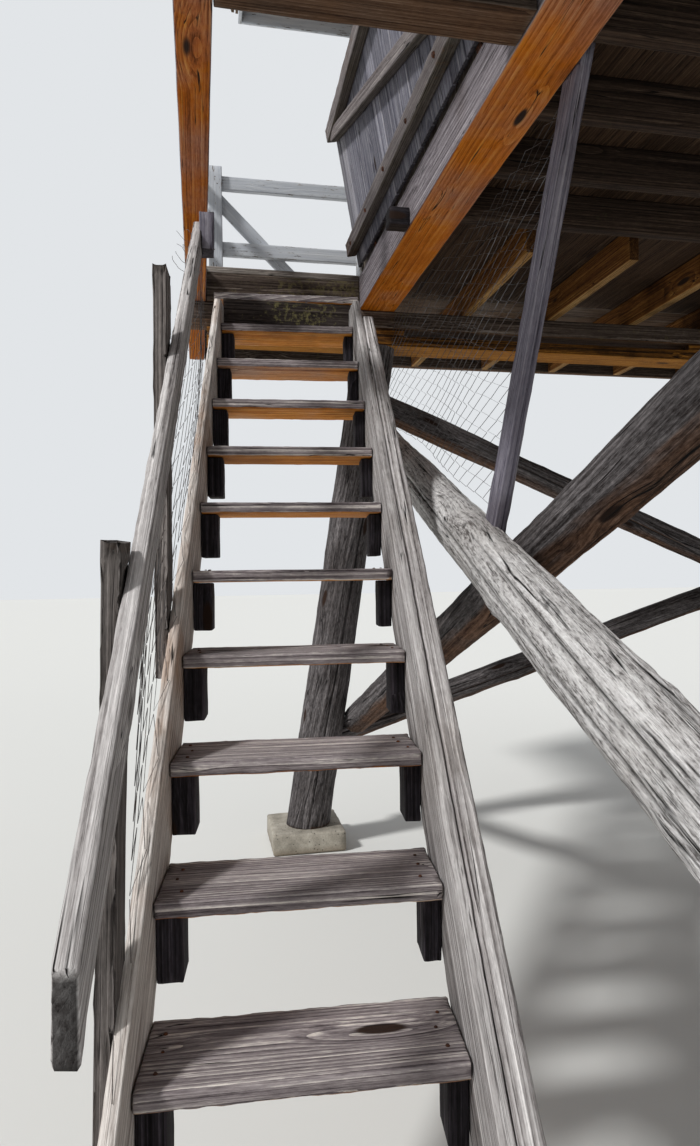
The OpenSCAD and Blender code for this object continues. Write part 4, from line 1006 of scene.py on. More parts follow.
makeLeftDeck()
for k, (nodeName, along, finish, slotName) in enumerate([
        ("deck_right", "y", "greyDeckBoard", "deck"), ("deck_back", "x", "greyDeckBoard", "deck"),
        ("deck_front", "x", "greyDeckBoard", "deck"), ("cab_floor", "y", "oldFloorBoard", "floor")]):
    low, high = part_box(nodeName)
    gap = decking["tongued"] if nodeName == "cab_floor" else decking["gap"]
    settle(deckRegion(nodeName + "_boards", low, high, along, wood[finish], 50 + k, gap=gap), "tower", slotName,
        nodeName)
print("decks laid")

# Railings: square posts, two boards and a diagonal at each end, all in old white paint
railing = {"bays": 3, "post": 0.089, "height": 0.99, "middle": 0.562, "boardHeight": 0.089, "boardThickness": 0.038,
    "diagonalThickness": 0.6, "diagonalTop": 0.03, "diagonalSpare": 0.3,
    "look": {"step": 0.07, "across": 0.05, "edgeBand": 0.009, "arris": 0.003, "chip": 0.003, "wave": 0.0012}}


def makeRailing(nodeName, seed):
    rng = random.Random(seed)
    low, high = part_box(nodeName)
    alongX = (high - low).x > (high - low).y
    way = boardX if alongX else boardY
    side = boardY if alongX else boardX
    length = (high - low).dot(way)
    middle = (low + high) / 2
    start = middle - way * length / 2
    start.z = low.z
    look = railing["look"]
    parts = []
    bay = (length - railing["post"]) / railing["bays"]
    postHeight = high.z - low.z
    for k in range(railing["bays"] + 1):
        centre = start + way * (railing["post"] / 2 + k * bay) + boardZ * postHeight / 2
        parts.append(sawn(centre, boardZ, way, (postHeight, railing["post"], railing["post"]), look, rng))
    for top in (railing["height"], railing["middle"]):
        centre = start + way * length / 2 + boardZ * (top - railing["boardHeight"] / 2)
        parts.append(sawn(centre, way, boardZ, (length - railing["post"], railing["boardHeight"],
            railing["boardThickness"]), look, rng))
    # Diagonals rise at 45 degrees towards each end post, on the face of the boards
    thickness = railing["boardThickness"] * railing["diagonalThickness"]
    offset = side * ((railing["boardThickness"] + thickness) / 2 * cadDiagonalSide(nodeName, side, middle))
    for sign in (1, -1):
        corner = start + way * (length / 2 - sign * (length / 2 - railing["post"] / 2))
        corner = corner + boardZ * (railing["height"] - railing["boardHeight"] + railing["diagonalTop"]) + offset
        direction = (way * sign - boardZ).normalized()
        lift = (way * sign + boardZ).normalized()
        reach = (railing["height"] + railing["diagonalSpare"]) * math.sqrt(2)
        centre = corner + direction * (reach / 2 - 0.2) - lift * railing["boardHeight"] / 2
        part = boxPart(centre, direction, lift, (reach, railing["boardHeight"], thickness))
        for height, up in ((low.z + 0.001, -1), (low.z + railing["height"] - railing["boardHeight"] / 2, 1)):
            sliceOff(part, (0, 0, height), (0, 0, up))
        end = start + way * (length / 2 - sign * length / 2)
        sliceOff(part, end + way * sign * 0.002, way * -sign)
        bmesh.ops.recalc_face_normals(part, faces=part.faces[:])
        parts.append(dress(part, look, rng))
    settle(joinParts(nodeName + "_painted", parts, wood["flakingWhitePaint"]), "tower", "white_paint", nodeName)


def cadDiagonalSide(nodeName, side, middle):
    # Looks at which face of the boards the CAD diagonals lie
    offsets = [v.co.dot(side) - middle.dot(side) for v in cadNodes[nodeName].data.vertices]
    inner = [o for o in offsets if railing["boardThickness"] / 2 + 0.001 < abs(o) < railing["post"] / 2 - 0.001]
    return 1 if sum(inner) >= 0 else -1


for k, nodeName in enumerate(["railing_left", "railing_right", "railing_front", "railing_back"]):
    makeRailing(nodeName, 70 + k)
print("railings painted")

# The hatch, in its own frame: the hinge line is the origin, and the free edge is towards -X
hinge = frame["joints"][0]
hatch = {"angle": 80.5, "railWidth": 0.07, "railDepth": 0.051, "braceWidth": 0.062, "braceDepth": 0.045,
    "braceIn": 0.025, "railIn": 0.062, "gap": 0.006,
    "boards": [0.118, 0.142, 0.097, 0.135, 0.128, 0.105, 0.146, 0.12, 0.138, 0.11],
    "boardLook": {"step": 0.05, "edgeBand": 0.007, "arris": 0.003, "chip": 0.004, "wave": 0.0015},
    "railLook": {"step": 0.035, "edgeBand": 0.009, "arris": 0.004, "chip": 0.006, "wave": 0.002}}
hatchTurn = Matrix.Translation(Vector(hinge["pos_m"])) @ Matrix.Rotation(math.radians(hatch["angle"]), 4, "Y")
hatchBack = hatchTurn.inverted()


def makeHatch():
    rng = random.Random(5)
    boards = islandsOf("hatch_boards")[0]
    for vert in boards.verts:
        vert.co = hatchBack @ vert.co
    points = [v.co.copy() for v in boards.verts]
    nearY, farY = min(p.y for p in points), max(p.y for p in points)
    hingeX = max(p.x for p in points)
    nearFree = min(p.x for p in points if p.y < nearY + 0.01)
    farFree = min(p.x for p in points if p.y > farY - 0.01)
    underZ = min(p.z for p in points)
    # Boards of several widths run from the hinge line to the free edge, with dark gaps between
    parts = []
    y, k = nearY, 0
    while y < farY - 0.02:
        width = hatch["boards"][k % len(hatch["boards"])]
        top = min(y + width, farY)
        strip = boards.copy()
        for place, way in ((y + hatch["gap"] / 2, -1), (top - hatch["gap"] / 2, 1)):
            sliceOff(strip, (0, place, 0), (0, way, 0))
        bmesh.ops.recalc_face_normals(strip, faces=strip.faces[:])
        parts.append(dress(strip, hatch["boardLook"], rng))
        y, k = top, k + 1
    for piece in parts[-2:]:      # the far boards are made pale, painted sunlight
        piece["wear"] = np.maximum(piece["wear"], 0.95)
    skin = joinParts("hatch_boards_tongued", parts, wood["fadedHatchBoard"])
    skin.data.transform(hatchTurn)
    settle(skin, "hatch", "hatch_board", "hatch_boards")

    look = hatch["railLook"]
    w, depth = hatch["railWidth"], hatch["railDepth"]
    innerX = hingeX - hatch["railIn"] - w / 2
    length = farY - nearY
    zRail = underZ - depth / 2
    parts = [sawn((innerX, (nearY + farY) / 2, zRail), (0, 1, 0), (1, 0, 0), (length, w, depth), look, rng)]
    nearMid, farMid = Vector((nearFree + w / 2, nearY, zRail)), Vector((farFree + w / 2, farY, zRail))
    way = farMid - nearMid
    parts.append(sawn((nearMid + farMid) / 2, way, (way.y, -way.x, 0), (way.length - 0.002, w, depth), look, rng))
    bw, low = hatch["braceWidth"], hatch["braceIn"]
    start = Vector((farFree + w, farY - low - bw, underZ - hatch["braceDepth"] / 2))
    end = Vector((innerX - w / 2, nearY + low + bw, underZ - hatch["braceDepth"] / 2))
    way = end - start
    parts.append(sawn((start + end) / 2, way, (way.y, -way.x, 0),
        (way.length + 0.06, bw, hatch["braceDepth"]), look, rng))
    rails = joinParts("hatch_frame_rails", parts, wood["hatchRail"])
    rails.data.transform(hatchTurn)
    settle(rails, "hatch", "joist", "hatch_frame")


makeHatch()
for nodeName in ("hatch_straps", "hinge_leaves"):
    obj = cadNodes[nodeName]
    obj.data.materials.clear()
    obj.data.materials.append(iron)
print("hatch built")

# Cab walls: vertical boards inside and out over a core, cut round the windows and the door
cab = {"boardPitch": 0.142, "boardThickness": 0.014, "casingWidth": 0.075, "casingThickness": 0.018,
    "cornerBoard": 0.095, "sillBoard": (0.034, 0.020), "headOver": 0.02, "sillOver": 0.03,
    "blocking": {"step": 1.0, "across": 1.0, "chip": 0.0, "wave": 0.0},
    "look": {"step": 0.2, "across": 0.1, "edgeBand": 0.008, "arris": 0.0025, "chip": 0.003}}
doorLow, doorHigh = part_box("door_leaf")
sashBoxes = []
for part in islandsOf("window_sashes"):
    points = np.array([v.co for v in part.verts])
    sashBoxes.append((Vector(points.min(0)), Vector(points.max(0))))
    part.free()
wallSides = {"wall_left": (-boardX, boardY), "wall_right": (boardX, boardY), "wall_front": (-boardY, boardX),
    "wall_back": (boardY, boardX)}


def spanAlong(low, high, way):
    ends = sorted((low.dot(way), high.dot(way)))
    return ends[0], ends[1]


def openingsOf(nodeName):
    low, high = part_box(nodeName)
    way = wallSides[nodeName][1]
    found = []
    for boxLow, boxHigh in sashBoxes:
        middle = (boxLow + boxHigh) / 2
        if all(low[i] - 0.01 <= middle[i] <= high[i] + 0.01 for i in range(3)):
            found.append((*spanAlong(boxLow, boxHigh, way), boxLow.z, boxHigh.z))
    if nodeName == "wall_back":
        found.append((*spanAlong(doorLow, doorHigh, way), doorLow.z, doorHigh.z + 0.004))
    return sorted(found)


def makeWall(nodeName, seed):
    rng = random.Random(seed)
    low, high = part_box(nodeName)
    out, way = wallSides[nodeName]
    start, end = spanAlong(low, high, way)
    openings = openingsOf(nodeName)
    thickness = abs((high - low).dot(out))
    middle = (low + high) / 2
    skin = cab["boardThickness"]
    rects = []
    cursor = start
    for left, right, bottom, top in openings:
        rects.append((cursor, left, low.z, high.z))
        if bottom > low.z + 0.05:
            rects.append((left, right, low.z, bottom))
        rects.append((left, right, top, high.z))
        cursor = right
    rects.append((cursor, end, low.z, high.z))
    pieces = []
    for k, (left, right, bottom, top) in enumerate(rects):
        centre = way * ((left + right) / 2) + out * middle.dot(out) + boardZ * ((bottom + top) / 2)
        core = boxPart(centre, boardZ, way, (top - bottom - 0.002, right - left - 0.002, thickness - 2 * skin))
        pieces.append(dress(core, cab["blocking"], rng))
        for side in (1, -1):
            plane = centre + out * side * (thickness - skin) / 2
            first = plane - way * (right - left) / 2
            last = plane + way * (right - left) / 2
            boards = layBoards("wallBoards", wood["wallBoard"], (top - bottom - 0.003, skin), boardZ, way, first, last,
                seed * 31 + k * 2 + side, cab["look"], gap=0.004, pitch=cab["boardPitch"])
            pieces.append(pieceOf(boards))
    settle(joinParts(nodeName + "_boards", pieces, wood["wallBoard"]), "tower", "wall_board", nodeName)
    # White casings and sill boards round the openings, and boards over the corners
    trims = []
    width, thin = cab["casingWidth"], cab["casingThickness"]
    face = middle.dot(out) + thickness / 2 + thin / 2
    look = dict(cab["look"], step=0.1)
    for left, right, bottom, top in openings:
        isDoor = bottom < low.z + 0.05
        height = top - bottom
        for u in (left - width / 2, right + width / 2):
            trims.append(sawn(way * u + out * face + boardZ * (bottom + height / 2), boardZ, way,
                (height, width, thin), look, rng))
        mid = way * ((left + right) / 2)
        trims.append(sawn(mid + out * (face + 0.003) + boardZ * (top + width / 2), way, boardZ,
            (right - left + 2 * width + cab["headOver"], width, thin + 0.006), look, rng))
        if not isDoor:
            deep, tall = cab["sillBoard"]      # thin, so that the hatch passes under it
            trims.append(sawn(mid + out * (face + deep / 2 - thin / 2) + boardZ * (bottom - tall / 2), way,
                boardZ, (right - left + 2 * width + cab["sillOver"], tall, deep), look, rng))
    if nodeName in ("wall_front", "wall_back"):
        for u, turn in ((start, -1), (end, 1)):
            trims.append(sawn(way * (u - turn * cab["cornerBoard"] / 2 + turn * thin) + out * face
                + boardZ * (low.z + high.z) / 2, boardZ, way, (high.z - low.z, cab["cornerBoard"], thin), look, rng))
            trims.append(sawn(way * (u + turn * thin / 2) + out * (face - thin / 2 - cab["cornerBoard"] / 2)
                + boardZ * (low.z + high.z) / 2, boardZ, out, (high.z - low.z, cab["cornerBoard"], thin), look, rng))
    settle(joinParts(nodeName + "_casings", trims, wood["flakingWhitePaint"]), "tower", "white_paint")


for k, nodeName in enumerate(wallSides):
    makeWall(nodeName, 90 + k)
print("walls boarded")

# Sashes with twelve small panes each
sash = {"frame": 0.05, "bar": 0.022, "barDepth": 0.028, "columns": 4, "rows": 3,
    "look": {"step": 0.25, "across": 0.2, "edgeBand": 0.006, "arris": 0.002, "chip": 0.002, "wave": 0.0008}}


def makeSashes():
    rng = random.Random(21)
    parts = []
    for low, high in sashBoxes:
        size = high - low
        way = boardX if size.x > size.y else boardY
        width, depth = size.dot(way), min(size.x, size.y)
        middle = (low + high) / 2
        f = sash["frame"]
        for turn in (-1, 1):
            parts.append(sawn(middle + way * turn * (width - f) / 2, boardZ, way, (size.z, f, depth),
                sash["look"], rng))
            parts.append(sawn(middle + boardZ * turn * (size.z - f) / 2, way, boardZ,
                (width - 2 * f, f, depth), sash["look"], rng))
        clearW, clearH = width - 2 * f, size.z - 2 * f
        for k in range(1, sash["columns"]):
            place = middle + way * (clearW * k / sash["columns"] - clearW / 2)
            parts.append(sawn(place, boardZ, way, (clearH, sash["bar"], sash["barDepth"]), sash["look"], rng))
        for k in range(1, sash["rows"]):
            place = middle + boardZ * (clearH * k / sash["rows"] - clearH / 2)
            parts.append(sawn(place, way, boardZ, (clearW, sash["bar"], sash["barDepth"] - 0.002), sash["look"], rng))
    settle(joinParts("window_sashes_barred", parts, wood["flakingWhitePaint"]), "tower", "white_paint", "window_sashes")


makeSashes()
panes = cadNodes["window_glass"]
panes.data.materials.clear()
panes.data.materials.append(glass)

# The door: boards outside, three ledges and two braces inside, strap hinges and a pull
door = {"boards": 0.026, "boardPitch": 0.11, "ledge": 0.11, "ledgeThickness": 0.016, "brace": 0.085, "inset": 0.08,
    "strap": (0.42, 0.042, 0.006), "strapTaper": (0.9, 0.45), "pullRadius": 0.0065,
    "pull": [(-0.085, 0.002), (-0.075, 0.03), (-0.03, 0.044), (0.03, 0.044), (0.075, 0.03), (0.085, 0.002)]}


def makeDoor():
    rng = random.Random(33)
    size = doorHigh - doorLow
    middle = (doorLow + doorHigh) / 2
    outer = middle + boardY * (size.y - door["boards"]) / 2
    boards = layBoards("doorBoards", wood["doorBoard"], (size.z, door["boards"]), boardZ, boardX,
        (doorLow.x, outer.y, middle.z), (doorHigh.x, outer.y, middle.z), 12, gap=0.003, pitch=door["boardPitch"])
    parts = [pieceOf(boards)]
    backing = boxPart((middle.x, doorHigh.y - door["boards"] - 0.001, middle.z), boardZ, boardX,
        (size.z - 0.01, size.x - 0.01, 0.004))
    parts.append(dress(backing, {"step": 1.0, "across": 1.0, "arris": 0.0005, "chip": 0.0, "wave": 0.0}, rng))
    inner = doorLow.y + door["ledgeThickness"] / 2
    heights = [doorLow.z + size.z * share for share in (0.12, 0.5, 0.88)]
    for z in heights:
        parts.append(sawn((middle.x, inner, z), boardX, boardZ,
            (size.x - 0.04, door["ledge"], door["ledgeThickness"]), {}, rng))
    for a, b in zip(heights[:-1], heights[1:]):
        lowEnd = Vector((doorLow.x + door["inset"], inner, a + door["ledge"] / 2))
        highEnd = Vector((doorHigh.x - door["inset"], inner, b - door["ledge"] / 2))
        way = highEnd - lowEnd
        parts.append(sawn((lowEnd + highEnd) / 2, way, (-way.z, 0, way.x),
            (way.length, door["brace"], door["ledgeThickness"] - 0.002), {}, rng))
    settle(joinParts("door_leaf_boards", parts, wood["doorBoard"]), "tower", "door_board", "door_leaf")
    irons = []
    length, height, thick = door["strap"]
    taperFrom, taper = door["strapTaper"]
    for z in (heights[0], heights[2]):
        part = boxPart((doorLow.x + length / 2 + 0.01, doorHigh.y + thick / 2, z), boardX, boardZ,
            (length, height, thick))
        for vert in part.verts:
            if vert.co.x > doorLow.x + length * taperFrom:
                vert.co.z = z + (vert.co.z - z) * taper
        irons.append(dress(part, {"step": 0.05, "arris": 0.001, "chip": 0.0005, "wave": 0.0003}, rng))
    pull = [Vector((doorHigh.x - 0.07, doorHigh.y + y, middle.z + z)) for z, y in door["pull"]]
    irons += [bar(a, b, door["pullRadius"], 10) for a, b in zip(pull[:-1], pull[1:])]
    irons += [bar(p, p + boardY * 0.004, 0.02, 16) for p in (pull[0], pull[-1])]
    settle(joinParts("door_irons", irons, iron), "tower", "iron")


def bar(start, end, radius, sides):
    # A round bar with rounded ends between two points
    start, end = Vector(start), Vector(end)
    axis = (end - start).normalized()
    u = axis.orthogonal().normalized()
    v = axis.cross(u)
    rings = [(-0.7, 0.45), (-0.25, 0.88), (0.0, 1.0)]
    profile = [(start + axis * radius * a, r) for a, r in rings]
    profile += [(end - axis * radius * a, r) for a, r in reversed(rings)]
    part = bmesh.new()
    loops = []
    for centre, share in profile:
        loops.append([part.verts.new(centre + (u * math.cos(2 * math.pi * k / sides)
            + v * math.sin(2 * math.pi * k / sides)) * radius * share) for k in range(sides)])
    for a, b in zip(loops[:-1], loops[1:]):
        for k in range(sides):
            part.faces.new((a[k], a[(k + 1) % sides], b[(k + 1) % sides], b[k]))
    part.faces.new(list(reversed(loops[0])))
    part.faces.new(loops[-1])
    bmesh.ops.recalc_face_normals(part, faces=part.faces[:])
    mesh = bpy.data.meshes.new("bar")
    part.to_mesh(mesh)
    part.free()
    count = len(mesh.vertices)
    return {"mesh": mesh, "grain": np.zeros((count, 3)), "tone": 0.5, "wear": np.zeros(count)}


makeDoor()
print("windows and door made")

# Roof: sheathing boards, rafter tails, fascias, shingles in courses and caps over the hips
roof = {"slope": 27.0, "thickness": 0.06, "sheathing": 0.026, "rafter": (0.045, 0.089), "rafterPitch": 0.56,
    "fascia": (0.022, 0.115), "shingleWidth": 0.125, "shingleLength": 0.3, "exposure": 0.135, "butt": 0.01,
    "capWidth": 0.115, "capPitch": 0.15, "peakCap": 0.14, "tail": 0.72, "tailIn": 0.012, "endTail": 0.55,
    "overhang": 0.045, "fasciaDrop": 0.026, "capThickness": 0.009, "capLift": 0.004, "firstCap": 0.1,
    "peakLift": 0.035, "peakSkirt": 0.02}
roofLow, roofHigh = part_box("roof")
roofHalf = (roofHigh.x - roofLow.x) / 2
slope = math.radians(roof["slope"])
slopeLength = roofHalf / math.cos(slope)


def shinglesTree():
    tree, given = newTree("shingleCourses", [("Shingle", "NodeSocketObject"), ("Columns", "NodeSocketInt"),
        ("Rows", "NodeSocketInt"), ("Width", "NodeSocketFloat"), ("Exposure", "NodeSocketFloat"),
        ("Seed", "NodeSocketInt"), ("Finish", "NodeSocketMaterial")])
    wide = addNode(tree, "ShaderNodeMath", {0: given["Columns"], 1: given["Width"]}, operation="MULTIPLY")
    tall = addNode(tree, "ShaderNodeMath", {0: given["Rows"], 1: given["Exposure"]}, operation="MULTIPLY")
    grid = addNode(tree, "GeometryNodeMeshGrid", {"Size X": wide, "Size Y": tall, "Vertices X": given["Columns"],
        "Vertices Y": given["Rows"]})
    place = addNode(tree, "GeometryNodeInputPosition")
    split = addNode(tree, "ShaderNodeSeparateXYZ", {"Vector": place})
    course = addNode(tree, "ShaderNodeMath", {0: split.outputs["Y"], 1: given["Exposure"]}, operation="DIVIDE")
    whole = addNode(tree, "ShaderNodeMath", {0: course}, operation="ROUND")
    stagger = addNode(tree, "ShaderNodeMath", {0: whole, 1: 0.38}, operation="MULTIPLY")
    cycle = addNode(tree, "ShaderNodeMath", {0: stagger}, operation="FRACT")
    side = addNode(tree, "ShaderNodeMath", {0: cycle, 1: given["Width"]}, operation="MULTIPLY")
    offset = addNode(tree, "ShaderNodeCombineXYZ", {"X": side})
    untidy = addNode(tree, "FunctionNodeRandomValue", {"Seed": given["Seed"], 0: (-0.012, -0.006, 0.0),
        1: (0.012, 0.006, 0.003)}, data_type="FLOAT_VECTOR")
    both = addNode(tree, "ShaderNodeVectorMath", {0: offset, 1: untidy}, operation="ADD")
    rows = addNode(tree, "GeometryNodeSetPosition", {"Geometry": grid, "Offset": both})
    turn = addNode(tree, "FunctionNodeRandomValue", {"Seed": given["Seed"], 0: (-0.012, -0.01, -0.018),
        1: (0.012, 0.01, 0.018)}, data_type="FLOAT_VECTOR")
    size = addNode(tree, "FunctionNodeRandomValue", {"Seed": given["Seed"], 0: (0.86, 1.0, 0.8), 1: (1.1, 1.0, 1.15)},
        data_type="FLOAT_VECTOR")
    shingle = addNode(tree, "GeometryNodeObjectInfo", {"Object": given["Shingle"]})
    laid = addNode(tree, "GeometryNodeInstanceOnPoints", {"Points": rows, "Instance": shingle.outputs["Geometry"],
        "Rotation": turn, "Scale": size})
    return closeTree(tree, markInstances(tree, laid.outputs[0], given["Seed"]), given["Finish"])


def plainPiece(part, rng):
    axes = timberAxes(part)
    mesh = bpy.data.meshes.new("part")
    part.normal_update()
    part.to_mesh(mesh)
    place = np.array([v.co for v in part.verts]) - np.array(axes["centre"])
    basis = np.array([axes["along"], axes["across"], axes["thin"]])
    count = len(part.verts)
    part.free()
    return {"mesh": mesh, "grain": place @ basis.T, "tone": rng.random(), "wear": np.zeros(count)}


def wedge(width, length, butt, rng):
    # One tapered shingle along Y: its thick lower end at the origin, tipped so that it rides on the course below
    part = boxPart((0, length / 2, 0), (0, 1, 0), (1, 0, 0), (length, width, butt))
    for vert in part.verts:
        thin = 0.35 if vert.co.y > length / 2 else 1.0
        vert.co.z = vert.co.z * thin + (0.5 * butt if vert.co.y < length / 2 else -0.6 * butt)
    return plainPiece(part, rng)


def cutToHips(obj, turn):
    part = bmesh.new()
    part.from_mesh(obj.data)
    for side in (1, -1):
        sliceOff(part, (middleX, 0, 0), turn.to_3x3() @ Vector((side, 1, 0)))
    part.to_mesh(obj.data)
    part.free()
    return obj


def makeRoof():
    rng = random.Random(44)
    up, thick = Vector((0, math.cos(slope), math.sin(slope))), roof["sheathing"]
    normal = boardX.cross(up)
    rows = int(slopeLength / roof["exposure"]) + 2
    columns = int(2 * roofHalf / roof["shingleWidth"]) + 3
    template = joinParts("shingle", [wedge(roof["shingleWidth"] - 0.004, roof["shingleLength"], roof["butt"], rng)],
        wood["cedarShingle"])
    sheathing, shingles, tails, fascias, caps = [], [], [], [], []
    eave = Vector((0, -roofHalf, roofLow.z))
    for k in range(4):
        turn = Matrix.Translation((middleX, 0, 0)) @ Matrix.Rotation(k * math.pi / 2, 4, "Z")
        boards = layBoards("sheathing", wood["sheathingBoard"], (2 * roofHalf, thick), boardX, up, eave
            + normal * thick / 2, eave + up * slopeLength + normal * thick / 2, 60 + k,
            {"step": 0.5, "across": 0.2, "edgeBand": 0.006, "arris": 0.002, "chip": 0.001}, pitch=0.15)
        boards.data.transform(turn)
        sheathing.append(pieceOf(cutToHips(boards, turn)))
        course = runTree("courses", shingleCourses, {"Shingle": template, "Columns": columns, "Rows": rows,
            "Width": roof["shingleWidth"], "Exposure": roof["exposure"], "Seed": 7 + k,
            "Finish": wood["cedarShingle"]})
        lift = thick + roof["butt"] * 1.15
        lay = Matrix((boardX, up, normal)).transposed().to_4x4()
        lay.translation = eave + normal * lift + up * (rows * roof["exposure"] / 2 - roof["overhang"])
        course.data.transform(turn @ lay)
        shingles.append(pieceOf(cutToHips(course, turn)))
        wide, deep = roof["rafter"]
        tail = eave + up * (roof["tail"] / 2 + roof["tailIn"]) - normal * deep / 2
        aside = boardX * (roofHalf - roof["endTail"])
        rafters = layBoards("rafters", wood["sheathingBoard"], (roof["tail"], deep), up, -boardX, tail - aside,
            tail + aside, 80 + k, {"step": 0.2, "across": 0.1}, gap=roof["rafterPitch"] - wide,
            pitch=roof["rafterPitch"])
        rafters.data.transform(turn)
        tails.append(pieceOf(rafters))
        thin, tall = roof["fascia"]
        piece = sawn(eave + Vector((0, -thin / 2, -roof["fasciaDrop"])), boardX, boardZ,
            (2 * roofHalf + 2 * thin, tall, thin), {"step": 0.15}, rng)
        piece["mesh"].transform(turn)
        fascias.append(piece)
        # Caps over the hip between this side and the next
        hipStart = Vector((-roofHalf, -roofHalf, roofLow.z))
        hipEnd = Vector((0, 0, roofLow.z + roofHalf * math.tan(slope)))
        hip = (hipEnd - hipStart).normalized()
        nextNormal = Vector((normal.y, 0, normal.z))
        rise = roof["thickness"] + 0.002
        capParts = []
        for face in (normal, nextNormal):
            away = hip.cross(face)
            away = away if away.dot(Vector((1, -1, 0)) if face is normal else Vector((-1, 1, 0))) > 0 else -away
            centre = away * roof["capWidth"] / 2 + face * roof["capLift"]
            part = boxPart(centre, hip, away, (roof["capPitch"] * 1.5, roof["capWidth"], roof["capThickness"]))
            capParts.append(plainPiece(part, rng))
        cap = joinParts("hipCap", capParts, wood["cedarShingle"])
        count = int((hipEnd - hipStart).length / roof["capPitch"])
        lifted = hipStart + boardZ * rise / math.cos(slope)
        run = runTree("hipCaps", laidBoards, {"Board": cap, "Count": count, "First": lifted + hip * roof["firstCap"],
            "Step": hip * roof["capPitch"], "Unevenness": (0.004, 0.004, 0.004), "Seed": 30 + k,
            "Finish": wood["cedarShingle"]})
        bpy.data.objects.remove(cap)
        run.data.transform(turn)
        caps.append(pieceOf(run))
    bpy.data.objects.remove(template)
    peak = bmesh.new()
    tip = Vector((middleX, 0, roofLow.z + (roofHalf + roof["peakCap"]) * math.tan(slope) + roof["peakLift"]))
    ring = [tip + Vector((x, y, 0)) * roof["peakCap"] - boardZ * roof["peakCap"] * math.tan(slope)
        for x, y in ((-1, -1), (1, -1), (1, 1), (-1, 1))]
    bmesh.ops.convex_hull(peak, input=[peak.verts.new(v) for v in [tip] + ring
        + [corner - boardZ * roof["peakSkirt"] for corner in ring]])
    for _ in range(2):
        bmesh.ops.subdivide_edges(peak, edges=peak.edges[:], cuts=1, use_grid_fill=True)
    settle(joinParts("peak_cap", [plainPiece(peak, rng)], iron), "tower", "iron")
    settle(joinParts("roof_sheathing", sheathing, wood["sheathingBoard"]), "tower", "shingle", "roof")
    settle(joinParts("roof_shingles", shingles + caps, wood["cedarShingle"]), "tower", "shingle")
    settle(joinParts("rafter_tails", tails, wood["sheathingBoard"]), "tower", "joist")
    settle(joinParts("roof_fascias", fascias, wood["flakingWhitePaint"]), "tower", "white_paint")


shingleCourses = shinglesTree()
makeRoof()
print("roof shingled")


def headsTree():
    # Nail and bolt heads: low domes set on points, each turned to its face
    tree, given = newTree("fastenerHeads", [("Geometry", "NodeSocketGeometry"), ("Radius", "NodeSocketFloat"),
        ("Height", "NodeSocketFloat"), ("Sides", "NodeSocketInt"), ("Finish", "NodeSocketMaterial")])
    facing = addNode(tree, "GeometryNodeInputNamedAttribute", {"Name": "facing"}, data_type="FLOAT_VECTOR")
    turn = addNode(tree, "FunctionNodeAlignRotationToVector", {"Vector": facing.outputs["Attribute"]}, axis="Z")
    top = addNode(tree, "ShaderNodeMath", {0: given["Radius"], 1: 0.6}, operation="MULTIPLY")
    head = addNode(tree, "GeometryNodeMeshCone", {"Vertices": given["Sides"], "Radius Top": top,
        "Radius Bottom": given["Radius"], "Depth": given["Height"]}, fill_type="NGON")
    grown = addNode(tree, "FunctionNodeRandomValue", {2: 0.8, 3: 1.15, "Seed": 5}, data_type="FLOAT")
    heads = addNode(tree, "GeometryNodeInstanceOnPoints", {"Points": given["Geometry"],
        "Instance": head.outputs["Mesh"], "Rotation": turn, "Scale": grown.outputs[1]})
    real = addNode(tree, "GeometryNodeRealizeInstances", {"Geometry": heads})
    return endTree(tree, real, given["Finish"])


fastenerHeads = headsTree()


def setHeads(name, spots, radius, height, body, sides=8):
    mesh = bpy.data.meshes.new(name + "_points")
    mesh.from_pydata([p for p, _ in spots], [], [])
    writeAttribute(mesh, "facing", "FLOAT_VECTOR", np.array([tuple(n) for _, n in spots]))
    obj = runTree(name, fastenerHeads, {"Radius": radius, "Height": height, "Sides": sides, "Finish": iron}, mesh)
    obj.data.shade_flat()
    settle(obj, body, "iron")


# Radius and height of the heads
fasteners = {"treadNail": (0.0048, 0.0026), "railNail": (0.0040, 0.0022), "hatchBolt": (0.011, 0.006),
    "hatchNail": (0.004, 0.0022)}


